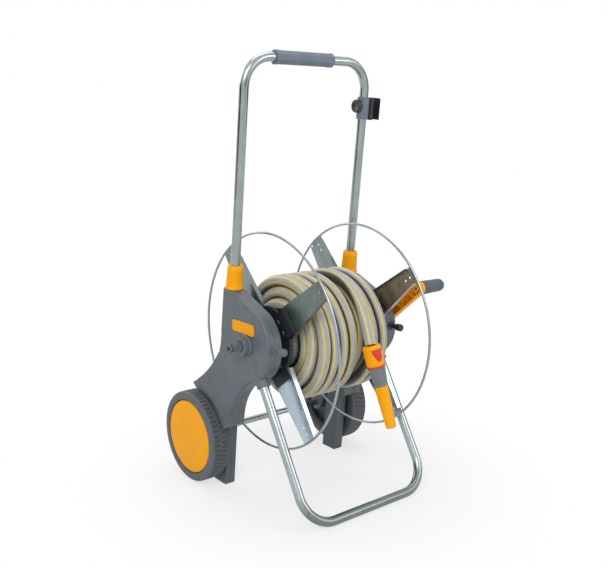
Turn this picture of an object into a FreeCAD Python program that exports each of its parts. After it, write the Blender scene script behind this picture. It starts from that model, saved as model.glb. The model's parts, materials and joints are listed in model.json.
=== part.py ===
import FreeCAD, Part
import math
import os
import Sketcher

# Garden hose reel cart: two side housings on a bent tube stand, a telescopic
# handle, a hose drum on a cranked shaft, and two wheels on a rear axle.
# Millimetres.  +X to the crank side, +Y towards the wheels, +Z up.  The
# origin is on the floor, under the centre of the cart's overall box.

DOC = FreeCAD.newDocument("hose_reel_cart")
OUTPUT = "parts"
RIGHT = 1
LEFT = -1
SIDES = (("left", LEFT), ("right", RIGHT))
LAYERS = 3
SPOKES = 4
SCREW_ANGLES = (160, 215)
BACK_SCREW_ANGLE = 25
LOBE_SCREW_ANGLE = 98
# How far a cutting or joining shape runs past the face it meets.
OVER = 1
NEAR = 0.01
WHOLE_CART = 700

# ---------------------------------------------------------------- sizes ----
SIZES = (
    # overall layout
    ("centre_x", -19.85, "centre plane between the two housings"),
    ("drum_y", -15.25, "drum axis, front to back"),
    ("drum_z", 331, "drum axis above the floor"),
    ("leg_half", 156, "centre plane to each handle leg"),
    ("leg_lean", 5.25, "forward lean of the handle and the rear struts, degrees"),
    ("leg_foot_y", 104.6, "handle leg axis at the floor, behind the drum axis"),
    ("stand_half", 160, "centre plane to each stand leg"),
    ("stand_lean", 31.2, "backward lean of the stand legs, degrees"),
    ("stand_front", 190, "drum axis to the stand's cross bar"),
    ("axle_back", 155, "drum axis to the wheel axle"),
    ("axle_z", 100, "wheel axle above the floor"),
    ("run", 0.05, "radial clearance of a running fit"),
    ("gap", 0.5, "clearance between pieces that move past each other"),
    # tubes
    ("tube_r", 9.5, "radius of the frame tube"),
    ("tube_wall", 1.5, "wall of the frame tube"),
    ("handle_top", 892.7, "handle bar's axis, measured along the legs"),
    ("handle_bottom", 255, "lower end of the handle legs, along the legs"),
    ("handle_bend", 58, "bend radius of the handle"),
    ("stand_bend", 62, "bend radius of the stand"),
    ("stand_leg", 326, "cross bar to the upper end of the stand legs"),
    ("grip_r", 15, "radius over the grip's corners"),
    ("grip_half", 72.5, "half the grip's length"),
    ("grip_shift", -16.5, "grip centre from the centre plane"),
    # housings
    ("housing_in", 141, "inner face of a housing from the centre plane"),
    ("housing_mid", 157, "joint between the two half shells"),
    ("housing_out", 173, "outer face of a housing"),
    ("wall", 3, "wall of the half shells"),
    ("cover_r", 75, "round front of the housing, about the drum axis"),
    ("neck_half", 18, "half width of the housing's neck"),
    ("neck_top", 435, "top of the neck, along the leg"),
    ("spigot_r", 13, "threaded spigot under the locking collar"),
    ("spigot_top", 457, "top of the spigot, along the leg"),
    ("boss_r", 17, "radius of the axle boss"),
    ("lobe_front", 55, "front tip of the lower lobe, behind the drum axis"),
    ("lobe_low", 141, "lower edge of the lobe above the floor"),
    ("guard_in", 101.5, "inner radius of the wheel guard"),
    ("guard_out", 107, "outer radius of the wheel guard"),
    ("guard_x", 190, "outer edge of the wheel guard from the centre plane"),
    ("ramp_left", 92, "length of the swell into the guard, left housing"),
    ("ramp_right", 6, "the same on the crank side, where the arm sweeps past"),
    ("guard_start", 78, "rear end of the wheel guard, degrees above the axle"),
    ("guard_end", 158, "front end of the wheel guard, degrees"),
    ("edge_round", 6, "rounding of the housing's outer edge"),
    ("screw_r", 2.2, "radius of a housing screw"),
    ("screw_head", 4.4, "radius of its head"),
    ("screw_post_r", 5, "radius of the post round a screw"),
    ("screw_inset", 13, "front screws, in from the round front"),
    ("back_screw_inset", 19, "screw behind the drum axis, in from the same circle"),
    ("lobe_screw_inset", 15, "lobe screw, in from the guard's outer edge"),
    ("chin_angle", 252, "lower end of the round front, degrees about the drum axis"),
    ("throat_reach", 109.5, "hollow under the chin, from the drum axis"),
    ("throat_angle", 283, "the same, degrees about the drum axis"),
    ("lobe_corner", 9, "height of the lobe's rounded front corner"),
    ("lobe_slant", 2, "the corner's upper end, forward of the tip"),
    ("lobe_foot", 6, "the corner's lower end, behind the tip"),
    ("strut_margin", 1, "housing behind the strut's rear face"),
    ("shoulder_out", 8, "shoulder of the lobe beyond the guard"),
    ("shoulder_turn", 3, "the shoulder, degrees past the guard's rear end"),
    ("waist_along", 270, "slimmest part of the back edge, along the leg"),
    ("waist_out", 33, "the same, behind the leg's axis"),
    ("spine_along", 346, "upper end of the curved back edge, along the leg"),
    ("spine_out", 19.5, "the same, behind the leg's axis"),
    ("guard_depth", 20, "swell of the guard, inwards from its inner radius"),
    ("guard_root", 4, "root of the swell inside the outer face"),
    ("spigot_root", 10, "length of the spigot inside the neck"),
    ("bearing_wall", 9, "wall of a shaft bearing"),
    # pegs, badge and stand sockets
    ("peg_flange", 9, "radius of a peg's foot"),
    ("peg_flange_h", 3, "height of a peg's foot"),
    ("peg_neck", 5, "radius of a peg's neck"),
    ("peg_head", 7.6, "radius of a peg's head"),
    ("peg_head_at", 17, "start of a peg's head"),
    ("peg_l", 31.5, "length of a peg"),
    ("peg_ease", 1.5, "eased edges of a peg"),
    ("peg_rise", 6, "peg above the drum axis"),
    ("badge_half_l", 37, "half the badge's length"),
    ("badge_half_h", 11.5, "half the badge's height"),
    ("badge_rise", 1.6, "thickness of the badge"),
    ("badge_field", 0.8, "depth of the badge's field"),
    ("badge_rim", 4, "width of the badge's rim"),
    ("badge_round", 7, "corner radius of the badge"),
    ("badge_back", 9, "badge centre behind the drum axis"),
    ("badge_up", 34.5, "badge centre above the drum axis"),
    ("socket_wall", 4, "wall of a stand socket"),
    ("socket_at", 284, "lower end of a stand socket, along the leg"),
    ("socket_l", 28, "length of a stand socket before it meets the housing"),
    # rear struts
    ("strut_in", 143, "inner face of a strut from the centre plane"),
    ("strut_out", 166.5, "outer face of a strut"),
    ("strut_fore", 16.6, "leg axis to the strut's front face"),
    ("strut_aft", 25.4, "leg axis to the strut's rear face"),
    ("strut_top", 216, "top of the strut along the leg"),
    ("strut_floor", 12, "thickness of the strut's closed foot"),
    ("strut_below", 10, "length cut off level with the floor"),
    # wheels
    ("axle_r", 7, "radius of the axle"),
    ("axle_end", 208, "axle end from the centre plane"),
    ("wheel_in", 174, "inner face of a wheel from the centre plane"),
    ("wheel_w", 42, "width of the tyre"),
    ("wheel_r", 98, "radius over the tyre"),
    ("rim_r", 74, "radius of the rim's barrel"),
    ("cap_r", 78.5, "radius of the wheel cap"),
    ("cap_rise", 2.3, "cap crown beyond the tyre"),
    ("cap_lip", 4, "depth of the cap's lip"),
    ("cap_flat", 60, "radius of the cap's crown"),
    ("cap_edge", 0.5, "fall of the crown at its edge"),
    ("cap_clip_r", 64, "inner radius of the cap's clip ring"),
    ("cap_clip", 9, "depth of the cap's clip ring"),
    ("cap_gap", 0.7, "clearance round the cap in the tyre"),
    ("tyre_ease", 3, "eased edges of the tyre"),
    ("rim_hub_r", 14, "radius of the rim's hub"),
    ("rim_hub_l", 30, "length of the rim's hub"),
    ("rim_wall", 4, "wall of the rim's barrel"),
    ("rim_set", 2, "barrel's setback at the inner face"),
    ("rim_disc_at", 13, "start of the rim's disc"),
    ("rim_seat", 5, "setback of the barrel behind the cap"),
    ("nut_r", 11.5, "radius of an axle nut"),
    ("nut_l", 3, "end of an axle nut beyond the rim's hub"),
    # drum
    ("ring_x", 120, "centre plane to each side ring"),
    ("ring_r", 220, "radius of a side ring to the wire's centre"),
    ("wire_r", 2.5, "radius of the ring wire"),
    ("spoke_t", 1.5, "thickness of the spoke sheet"),
    ("spoke_tip", 18.5, "half width of a spoke at the ring"),
    ("spoke_mid", 32, "half width of a spoke at the hub's rim"),
    ("spoke_root", 12, "half width of a spoke at its inner end"),
    ("spoke_in", 32, "inner end of a spoke from the drum axis"),
    ("spoke_flange", 8, "depth of the folded edges"),
    ("spoke_angle", 39, "first spoke above the front horizontal, degrees"),
    ("hub_r", 72, "radius of a hub disc"),
    ("hub_in", 112, "inner face of a hub disc from the centre plane"),
    ("hub_boss_r", 26, "radius of the hub boss"),
    ("hub_arm_end", 93, "reach of the hub's arms over the spokes"),
    ("hub_arm_t", 3, "thickness of the hub's arms"),
    ("rivet_r", 3, "radius of a rivet's shank"),
    ("rivet_lip", 2, "rivet head beyond its shank"),
    ("rivet_crown", 1.6, "height of a rivet's head"),
    ("rivet_low", 8, "inner rivet from a spoke's inner end"),
    ("rivet_out", 12, "outer rivets, in from the hub's edge and to each side"),
    ("hub_spigot", 8, "length of the hub's spigot inside the drum core"),
    ("hub_spigot_wall", 4, "wall of that spigot"),
    ("spoke_shoulder", 2, "widest line of a spoke beyond the hub"),
    ("spoke_lap", 0.2, "overlap of a spoke's tip and the ring wire"),
    ("fold_start", 1, "start of the folded edges beyond the widest line"),
    ("fold_end", 8, "end of the folded edges before the tip"),
    ("spoke_hole_r", 2.5, "radius of a hole near the spoke's tip"),
    ("spoke_hole_1", 13, "outer hole, in from the tip"),
    ("spoke_hole_2", 27, "inner hole, in from the tip"),
    ("core_r", 60, "radius of the drum core"),
    ("core_wall", 1.5, "wall of the drum core"),
    ("shaft_r", 11, "radius of the drum shaft"),
    ("shaft_bore", 6.5, "water passage in the shaft"),
    ("shaft_inset", 2, "left end of the shaft inside the housing's face"),
    ("passage_l", 96, "length of the water passage"),
    ("outlet_x", 92, "outlet to the left of the centre plane"),
    ("outlet_bore", 6, "bore of the outlet pipe"),
    ("outlet_r", 9, "radius of the outlet pipe"),
    ("outlet_root", 8, "inner end of the outlet pipe"),
    ("hose_d", 24, "outside diameter of the hose"),
    ("coil_half", 108, "half length of the inner layer of hose"),
    ("layer_step", 11, "setback of each further layer at the left end"),
    ("coil_right", 104, "right end of the outer layer"),
    # crank
    ("crank_r", 153, "drum axis to the crank grip's axis"),
    ("crank_in", 178, "inner face of the crank arm from the centre plane"),
    ("crank_out", 193, "outer face of the crank arm"),
    ("crank_web", 3, "thickness of the arm's web, walls and ribs"),
    ("crank_hub_r", 24, "radius of the arm's hub"),
    ("crank_tip_r", 14, "radius of the arm's tip"),
    ("crank_angle", 37, "arm above the front horizontal, degrees"),
    ("knob_r", 14.5, "radius of the crank grip"),
    ("knob_end", 258, "end of the crank grip from the centre plane"),
    ("pin_r", 4, "radius of the crank pin"),
    ("pin_head_r", 6.5, "radius of the crank pin's head"),
    ("pin_head", 3, "thickness of the crank pin's head"),
    ("pin_inset", 16, "end of the crank pin inside the grip"),
    ("pin_boss", 4, "wall of the boss round the crank pin"),
    ("pin_room", 0.1, "end play of the grip on its pin"),
    ("shaft_boss", 5, "wall of the boss round the shaft"),
    ("crank_seat", 4, "floor between the shaft's end and the bolt"),
    ("crank_rib", 2.4, "thickness of a rib in the arm"),
    ("bolt_r", 4, "radius of the crank bolt"),
    ("bolt_head_r", 9, "radius of the crank bolt's head"),
    ("bolt_head", 6, "height of the crank bolt's head"),
    ("knob_swell", 0.3, "swell of the crank grip near the arm"),
    ("knob_collar", 5, "length of that swell"),
    ("knob_round", 9, "length of the grip's rounded end"),
    # water inlet
    ("inlet_flange", 22, "radius of the inlet's flange"),
    ("inlet_flange_h", 3, "height of the flange"),
    ("inlet_r", 19.5, "radius of the inlet boss"),
    ("inlet_h", 16, "height of the inlet boss"),
    ("inlet_ease", 2, "eased edges of the inlet boss"),
    ("nipple_bore", 5, "bore of the inlet nipple"),
    ("nipple_nut", 10.5, "radius of the nipple's nut"),
    ("nipple_nut_h", 4, "height of the nipple's nut"),
    ("nipple_neck", 6.8, "radius of the nipple's neck"),
    ("nipple_neck_end", 7.5, "end of the nipple's neck"),
    ("nipple_r", 8, "radius of the nipple"),
    ("nipple_l", 26, "length of the nipple"),
    ("nipple_tip", 7.4, "radius of the nipple's eased tip"),
    ("groove_r", 7.2, "radius of the seal's groove"),
    ("groove_at", 20.5, "start of the seal's groove"),
    ("groove_w", 2.2, "width of the seal's groove"),
    ("seal_r", 7.95, "radius over the seal"),
    ("seal_play", 0.1, "side play of the seal in its groove"),
    # nozzle
    ("connector_r", 19, "radius of the hose connector"),
    ("connector_l", 45, "length of the hose connector"),
    ("sleeve_l", 39, "length of the ribbed sleeve"),
    ("barrel_l", 88, "length of the nozzle barrel"),
    ("barrel_r", 13.6, "radius of the barrel at the sleeve"),
    ("tip_r", 10.5, "radius of the barrel at its mouth"),
    ("connector_neck", 2.5, "draw-in of the connector at the hose"),
    ("connector_swell", 8, "length of the connector's swell"),
    ("band_w", 3.5, "width of the band round the connector"),
    ("sleeve_in", 1.5, "sleeve's start, in from the connector"),
    ("sleeve_taper", 4.8, "sleeve's end, in from the connector"),
    ("stem_r", 11, "radius of the stem the barrel turns on"),
    ("stem_l", 12, "length of that stem"),
    ("barrel_band", 24, "length of the barrel's wide part"),
    ("barrel_draft", 0.4, "draft of the barrel's wide part"),
    ("mouth_r", 7, "radius of the nozzle's mouth"),
    ("jet_r", 5, "bore of the nozzle"),
    ("mouth_l", 14, "depth of the nozzle's mouth"),
    # clip on the right handle leg
    ("clip_low", 776, "lower edge of the clip, along the leg"),
    ("clip_h", 46, "height of the clip"),
    ("clip_r", 12.8, "radius of the clip's clamp"),
    ("cradle_r", 16, "outer radius of the clip's cradle"),
    ("screw_head_r", 14, "radius of the clip's thumb screw"),
    ("knob_stem", 4, "radius of the thumb screw's stem"),
    ("knob_up", 27, "thumb screw above the clip's lower edge"),
    ("knob_thick", 10, "outer face of the thumb screw beyond the clamp"),
    ("knob_step", 2.5, "start of the thumb screw's full width"),
    ("knob_ease", 2, "eased edge of the thumb screw"),
    ("stem_play", 0.1, "end of the stem clear of the tube"),
    ("cradle_wall", 3.2, "wall of the cradle"),
    ("cradle_h", 46, "height of the cradle"),
    ("cradle_drop", 1, "cradle below the clamp"),
    ("cradle_sink", 0.6, "cradle sunk into the clamp"),
    ("cradle_gape", 1.5, "width of the mouth, in inner radii of the cradle"),
    # locking collars
    ("collar_r", 18.6, "radius of a collar's skirt"),
    ("collar_skirt", 3, "height of the skirt"),
    ("collar_l", 49, "length of a collar"),
    ("collar_top", 13.3, "radius of a collar's upper end"),
    ("collar_ease", 0.7, "eased upper edge of a collar"),
)


class Dim:
    """A size that keeps both its number and its formula in the sheet."""

    def __init__(self, value, text=None):
        self.value = float(value)
        self.text = text if text else repr(float(value))

    def __add__(self, other):
        other = as_dim(other)
        return Dim(self.value + other.value, f"({self.text} + {other.text})")

    def __sub__(self, other):
        other = as_dim(other)
        return Dim(self.value - other.value, f"({self.text} - {other.text})")

    def __rsub__(self, other):
        return as_dim(other) - self

    def __mul__(self, other):
        other = as_dim(other)
        return Dim(self.value * other.value, f"({self.text} * {other.text})")

    def __truediv__(self, other):
        other = as_dim(other)
        return Dim(self.value / other.value, f"({self.text} / {other.text})")

    def __neg__(self):
        return Dim(0) - self

    __radd__ = __add__
    __rmul__ = __mul__


def as_dim(number):
    return number if isinstance(number, Dim) else Dim(number)


def make_sheet():
    sheet = DOC.addObject("Spreadsheet::Sheet", "Sizes")
    for row, (alias, value, note) in enumerate(SIZES, start=1):
        sheet.set(f"A{row}", alias)
        sheet.set(f"B{row}", str(value))
        sheet.set(f"C{row}", note)
        sheet.setAlias(f"B{row}", alias)
    DOC.recompute()
    return {alias: Dim(sheet.get(alias), f"Sizes.{alias}") for alias, value, note in SIZES}


D = make_sheet()
NODES = []


def vec(x, y, z):
    return FreeCAD.Vector(as_dim(x).value, as_dim(y).value, as_dim(z).value)


def node(label, obj):
    """Name a finished piece; it is checked and written out at the end."""
    obj.Label = label
    NODES.append(obj)
    return obj


# --------------------------------------------------------------- frames ----
TURN_NONE = FreeCAD.Rotation()
ABOUT_X = FreeCAD.Vector(1, 0, 0)
ABOUT_Y = FreeCAD.Vector(0, 1, 0)
QUARTER = 90


class Spot:
    """A place for a piece: three sizes from the cart's origin and a turn."""

    def __init__(self, x, y, z, turn=TURN_NONE):
        self.xyz = (as_dim(x), as_dim(y), as_dim(z))
        self.turn = turn

    def put(self, obj):
        obj.Placement = FreeCAD.Placement(vec(*self.xyz), self.turn)
        for letter, dim in zip("xyz", self.xyz):
            obj.setExpression(f"Placement.Base.{letter}", dim.text)
        return obj

    def matrix(self):
        return FreeCAD.Placement(vec(*self.xyz), self.turn)


LOCAL = Spot(0, 0, 0)


def outward(side):
    """Turn that lays a piece's own Z axis along the cart's outward X."""
    return FreeCAD.Rotation(ABOUT_Y, QUARTER * side)


def on_drum_axis(side=RIGHT):
    return Spot(D["centre_x"], D["drum_y"], D["drum_z"], outward(side))


def on_axle(side=RIGHT):
    return Spot(D["centre_x"], D["drum_y"] + D["axle_back"], D["axle_z"], outward(side))


def leg_turn():
    return FreeCAD.Rotation(ABOUT_X, D["leg_lean"].value)


def on_leg(side=0):
    return Spot(D["centre_x"] + D["leg_half"] * side, D["drum_y"] + D["leg_foot_y"], 0, leg_turn())


def on_stand():
    lean = FreeCAD.Rotation(ABOUT_X, -D["stand_lean"].value)
    return Spot(D["centre_x"], D["drum_y"] - D["stand_front"], D["tube_r"], lean)


# ------------------------------------------------------- shape builders ----
def cylinder(name, radius, length, spot=LOCAL):
    obj = DOC.addObject("Part::Cylinder", name)
    obj.setExpression("Radius", as_dim(radius).text)
    obj.setExpression("Height", as_dim(length).text)
    return spot.put(obj)


def block(name, size_x, size_y, size_z, spot=LOCAL):
    obj = DOC.addObject("Part::Box", name)
    obj.setExpression("Length", as_dim(size_x).text)
    obj.setExpression("Width", as_dim(size_y).text)
    obj.setExpression("Height", as_dim(size_z).text)
    return spot.put(obj)


def corner(name, bend, radius, sweep, spot):
    obj = DOC.addObject("Part::Torus", name)
    obj.setExpression("Radius1", as_dim(bend).text)
    obj.setExpression("Radius2", as_dim(radius).text)
    obj.Angle3 = sweep
    return spot.put(obj)


def cut(name, base, tool, spot=LOCAL):
    obj = DOC.addObject("Part::Cut", name)
    obj.Base = base
    obj.Tool = tool
    return spot.put(obj)


def fuse(name, shapes, spot=LOCAL):
    obj = DOC.addObject("Part::MultiFuse", name)
    obj.Shapes = shapes
    obj.Refine = True
    return spot.put(obj)


def group(name, shapes, spot=LOCAL):
    obj = DOC.addObject("Part::Compound", name)
    obj.Links = shapes
    return spot.put(obj)


def solid_feature(name, shape):
    obj = DOC.addObject("Part::Feature", name)
    obj.Shape = shape
    return obj


def own_plane(body, role):
    return [item for item in body.Origin.OriginFeatures if item.Role == role][0]


def sketch_loops(body, role, loops):
    """A fully sized sketch of straight-sided loops on one of the body's planes."""
    sketch = body.newObject("Sketcher::SketchObject", body.Name + "_sketch")
    sketch.AttachmentSupport = [(own_plane(body, role), "")]
    sketch.MapMode = "FlatFace"
    first = 0
    for loop in loops:
        points = [(as_dim(u), as_dim(v)) for u, v in loop]
        count = len(points)
        for index in range(count):
            start = points[index]
            end = points[(index + 1) % count]
            sketch.addGeometry(Part.LineSegment(vec(start[0], start[1], 0), vec(end[0], end[1], 0)))
        for index in range(count):
            follow = first + (index + 1) % count
            sketch.addConstraint(Sketcher.Constraint("Coincident", first + index, 2, follow, 1))
        for index, (u, v) in enumerate(points):
            for kind, dim in (("DistanceX", u), ("DistanceY", v)):
                rule = Sketcher.Constraint(kind, -1, 1, first + index, 1, dim.value)
                place = sketch.addConstraint(rule)
                sketch.setExpression(f"Constraints[{place}]", dim.text)
        first += count
    return sketch


def turned(name, profile, spot):
    """A solid of revolution; the profile is a list of (radius, distance along)."""
    body = DOC.addObject("PartDesign::Body", name)
    sketch = sketch_loops(body, "XZ_Plane", [profile])
    spin = body.newObject("PartDesign::Revolution", name + "_spin")
    spin.Profile = sketch
    spin.ReferenceAxis = (sketch, ["V_Axis"])
    spin.Angle = 360
    body.Tip = spin
    return spot.put(body)


def padded(name, loops, depth, spot, role="XY_Plane"):
    """A plate: sketch loops raised by a depth along the plane's normal."""
    body = DOC.addObject("PartDesign::Body", name)
    sketch = sketch_loops(body, role, loops)
    pad = body.newObject("PartDesign::Pad", name + "_pad")
    pad.Profile = sketch
    pad.setExpression("Length", as_dim(depth).text)
    body.Tip = pad
    return spot.put(body)


def ring_profile(inner, outer, start, end):
    return [(inner, start), (outer, start), (outer, end), (inner, end)]


# ------------------------------------------------------------ bent tube ----
def u_tube(name, radius, half, bend, foot, bar):
    """Two legs, two bends and a bar, in a plane: legs along Z, bar along X."""
    up = 1 if bar.value > foot.value else -1
    low = foot if up > 0 else bar + bend
    length = (bar - bend - foot) if up > 0 else (foot - bar - bend)
    turn_flat = FreeCAD.Rotation(ABOUT_X, QUARTER)
    pieces = []
    for label, side in SIDES:
        pieces.append(cylinder(f"{name}_leg_{label}", radius, length, Spot(half * side, 0, low)))
        quarter_turns = {(1, RIGHT): 0, (1, LEFT): -1, (-1, RIGHT): 1, (-1, LEFT): 2}[(up, side)]
        turn = FreeCAD.Rotation(ABOUT_Y, QUARTER * quarter_turns) * turn_flat
        centre = Spot((half - bend) * side, 0, bar - bend * up, turn)
        pieces.append(corner(f"{name}_bend_{label}", bend, radius, QUARTER, centre))
    across = Spot(bend - half, 0, bar, outward(RIGHT))
    pieces.append(cylinder(f"{name}_bar", radius, (half - bend) * 2, across))
    return fuse(name, pieces)


def hollow_u_tube(name, half, bend, foot, bar, spot):
    outer = u_tube(name + "_outer", D["tube_r"], half, bend, foot, bar)
    inner = u_tube(name + "_inner", D["tube_r"] - D["tube_wall"], half, bend, foot, bar)
    return node(name, cut(name, outer, inner, spot))


# --------------------------------------------------------- side housing ----
def leg_point(along, across):
    """A point of the handle leg's plane as (y, z), sizes along and across the leg."""
    lean = math.radians(D["leg_lean"].value)
    y = D["drum_y"].value + D["leg_foot_y"].value - along * math.sin(lean) + across * math.cos(lean)
    return y, along * math.cos(lean) + across * math.sin(lean)


def polar(centre, radius, degrees):
    angle = math.radians(degrees)
    return centre[0] + radius * math.cos(angle), centre[1] + radius * math.sin(angle)


def tangent_point(centre, radius, point, turn):
    """Where a line from a point touches a circle; turn is +1 or -1."""
    dy = point[0] - centre[0]
    dz = point[1] - centre[1]
    spread = math.degrees(math.acos(radius / math.hypot(dy, dz)))
    return polar(centre, radius, math.degrees(math.atan2(dz, dy)) + turn * spread)


def flat_point(point):
    return FreeCAD.Vector(0, point[0], point[1])


def flat_line(start, end):
    return Part.LineSegment(flat_point(start), flat_point(end)).toShape()


def flat_arc(start, via, end):
    return Part.Arc(flat_point(start), flat_point(via), flat_point(end)).toShape()


def drum_centre():
    return D["drum_y"].value, D["drum_z"].value


def axle_centre():
    return D["drum_y"].value + D["axle_back"].value, D["axle_z"].value


def housing_face():
    """The housing's outline as a flat face at x = 0."""
    drum = drum_centre()
    axle = axle_centre()
    cover = D["cover_r"].value
    boss = D["boss_r"].value
    low = D["lobe_low"].value
    guard = D["guard_out"].value
    tip_y = drum[0] + D["lobe_front"].value
    corner_h = D["lobe_corner"].value
    neck_front = leg_point(D["neck_top"].value, -D["neck_half"].value)
    neck_back = leg_point(D["neck_top"].value, D["neck_half"].value)
    brow = tangent_point(drum, cover, neck_front, 1)
    chin = polar(drum, cover, D["chin_angle"].value)
    throat = polar(drum, D["throat_reach"].value, D["throat_angle"].value)
    tip_front = (tip_y - D["lobe_slant"].value, low + corner_h)
    tip_via = (tip_y, low + corner_h / 3)
    tip_low = (tip_y + D["lobe_foot"].value, low)
    strut_back = leg_point(low, D["strut_aft"].value + D["strut_margin"].value)
    boss_front = tangent_point(axle, boss, strut_back, 1)
    boss_low = polar(axle, boss, -QUARTER)
    boss_back = polar(axle, boss, 0)
    lobe_back = polar(axle, guard, D["guard_start"].value)
    shoulder_angle = D["guard_start"].value + D["shoulder_turn"].value
    shoulder = polar(axle, guard + D["shoulder_out"].value, shoulder_angle)
    waist = leg_point(D["waist_along"].value, D["waist_out"].value)
    spine = leg_point(D["spine_along"].value, D["spine_out"].value)
    edges = [
        flat_line(neck_back, neck_front),
        flat_line(neck_front, brow),
        flat_arc(brow, polar(drum, cover, 2 * QUARTER), chin),
        flat_arc(chin, throat, tip_front),
        flat_arc(tip_front, tip_via, tip_low),
        flat_line(tip_low, strut_back),
        flat_line(strut_back, boss_front),
        flat_arc(boss_front, boss_low, boss_back),
        flat_line(boss_back, lobe_back),
        flat_line(lobe_back, shoulder),
        flat_arc(shoulder, waist, spine),
        flat_line(spine, neck_back),
    ]
    return Part.Face(Part.Wire(edges))


def moved_x(shape, distance):
    shape = shape.copy()
    shape.translate(FreeCAD.Vector(distance, 0, 0))
    return shape


def slab(face, side, near, far):
    """The face raised between two distances from the centre plane."""
    centre = D["centre_x"].value
    start = centre + side * near
    return moved_x(face, start).extrude(FreeCAD.Vector(side * (far - near), 0, 0))


def round_bar(side, radius, near, far, y, z):
    start = FreeCAD.Vector(D["centre_x"].value + side * near, y, z)
    return Part.makeCylinder(radius, far - near, start, FreeCAD.Vector(side, 0, 0))


def bar_along(spot, radius, length, offset_x=0, start=0):
    bar = Part.makeCylinder(radius, length, FreeCAD.Vector(offset_x, 0, start))
    bar.transformShape(spot.matrix().toMatrix())
    return bar


def screw_spots():
    """The four screws that join the half shells, as (y, z)."""
    reach = D["cover_r"].value - D["screw_inset"].value
    spots = [polar(drum_centre(), reach, angle) for angle in SCREW_ANGLES]
    back_reach = D["cover_r"].value - D["back_screw_inset"].value
    spots.append(polar(drum_centre(), back_reach, BACK_SCREW_ANGLE))
    lobe_reach = D["guard_out"].value - D["lobe_screw_inset"].value
    spots.append(polar(axle_centre(), lobe_reach, LOBE_SCREW_ANGLE))
    return spots


def guard_wedge(face, side):
    """The lower lobe swells outwards into a guard that follows the tyre."""
    axle_y, axle_z = axle_centre()
    out = D["housing_out"].value
    root = out - D["guard_root"].value
    reach = D["guard_x"].value
    start = D["guard_in"].value - D["guard_depth"].value
    ramp = D["ramp_left"] if side == LEFT else D["ramp_right"]
    ramp_end = D["guard_out"].value + ramp.value
    half_width = 150
    corners = [(start, root), (start, reach), (D["guard_out"].value, reach), (ramp_end, root)]
    points = [FreeCAD.Vector(0, along, across) for along, across in corners]
    profile = Part.Face(Part.makePolygon(points + points[:1]))
    prism = profile.extrude(FreeCAD.Vector(2 * half_width, 0, 0))
    prism.translate(FreeCAD.Vector(-half_width, 0, 0))
    # prism: X across the lobe, Y away from the axle, Z outwards
    toward = math.atan2(D["drum_z"].value - axle_z, -D["axle_back"].value)
    away = FreeCAD.Vector(0, math.cos(toward), math.sin(toward))
    outwards = FreeCAD.Vector(side, 0, 0)
    across_dir = away.cross(outwards)
    frame = FreeCAD.Matrix(
        across_dir.x, away.x, outwards.x, D["centre_x"].value,
        across_dir.y, away.y, outwards.y, axle_y,
        across_dir.z, away.z, outwards.z, axle_z,
        0, 0, 0, 1)
    prism.transformShape(frame)
    lobe = slab(face, side, out - 2 * OVER, reach + OVER)
    wheel_room = round_bar(side, D["guard_in"].value, out, reach + 2 * OVER, axle_y, axle_z)
    return lobe.common(prism).cut(wheel_room)


def strut_box(side, margin, top):
    """The strut's outline as an upright block on the leg, grown by a margin."""
    wide = D["strut_out"].value - D["strut_in"].value + 2 * margin
    deep = D["strut_fore"].value + D["strut_aft"].value + 2 * margin
    box = Part.makeBox(wide, deep, top)
    middle = (D["strut_out"].value + D["strut_in"].value) / 2 - D["leg_half"].value
    box.translate(FreeCAD.Vector(side * middle - wide / 2, -D["strut_fore"].value - margin, 0))
    box.transformShape(on_leg(side).matrix().toMatrix())
    return box


def rounded_slab(face, side):
    """The housing's full thickness with its outer edge rounded."""
    far = D["housing_out"].value
    outer_x = D["centre_x"].value + side * far
    whole = slab(face, side, D["housing_in"].value, far)
    rim_edges = []
    for edge in whole.Edges:
        flat = edge.BoundBox.XMax - edge.BoundBox.XMin < NEAR
        if flat and abs(edge.CenterOfMass.x - outer_x) < NEAR:
            rim_edges.append(edge)
    return whole.makeFillet(D["edge_round"].value, rim_edges)


def housing_posts(side):
    """Solid posts inside the shell: round the leg, stand, shaft, axle, screws and strut."""
    near = D["housing_in"].value
    far = D["housing_out"].value
    wall = D["wall"].value
    tube = D["tube_r"].value
    strut_top = D["strut_top"].value
    stand_x = side * D["stand_half"].value
    leg_length = D["neck_top"].value - strut_top
    posts = [
        bar_along(on_leg(side), tube + wall + D["gap"].value, leg_length, 0, strut_top),
        bar_along(on_stand(), tube + wall, D["stand_leg"].value, stand_x),
        round_bar(side, D["hub_boss_r"].value, near, far, *drum_centre()),
        round_bar(side, D["boss_r"].value, near, far, *axle_centre()),
    ]
    for y, z in screw_spots():
        posts.append(round_bar(side, D["screw_post_r"].value, near, far, y, z))
    posts.append(strut_box(side, wall, strut_top + wall))
    return posts


def housing_bores(side):
    """Everything that is drilled or cut through the housing."""
    near = D["housing_in"].value
    far = D["housing_out"].value
    wall = D["wall"].value
    tube = D["tube_r"].value
    stand_x = side * D["stand_half"].value
    seat = D["shaft_r"].value + D["bearing_wall"].value
    bores = [
        bar_along(on_leg(side), tube + D["run"].value, D["spigot_top"].value, 0, OVER),
        bar_along(on_stand(), tube, D["stand_leg"].value, stand_x),
        round_bar(side, seat, near - OVER, far + OVER, *drum_centre()),
        round_bar(side, D["axle_r"].value, near - OVER, far + OVER, *axle_centre()),
        strut_box(side, 0, D["strut_top"].value),
    ]
    for y, z in screw_spots():
        bores.append(round_bar(side, D["screw_r"].value, near + wall, far - wall, y, z))
        bores.append(round_bar(side, D["screw_head"].value, near - OVER, near + wall, y, z))
    return bores


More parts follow.
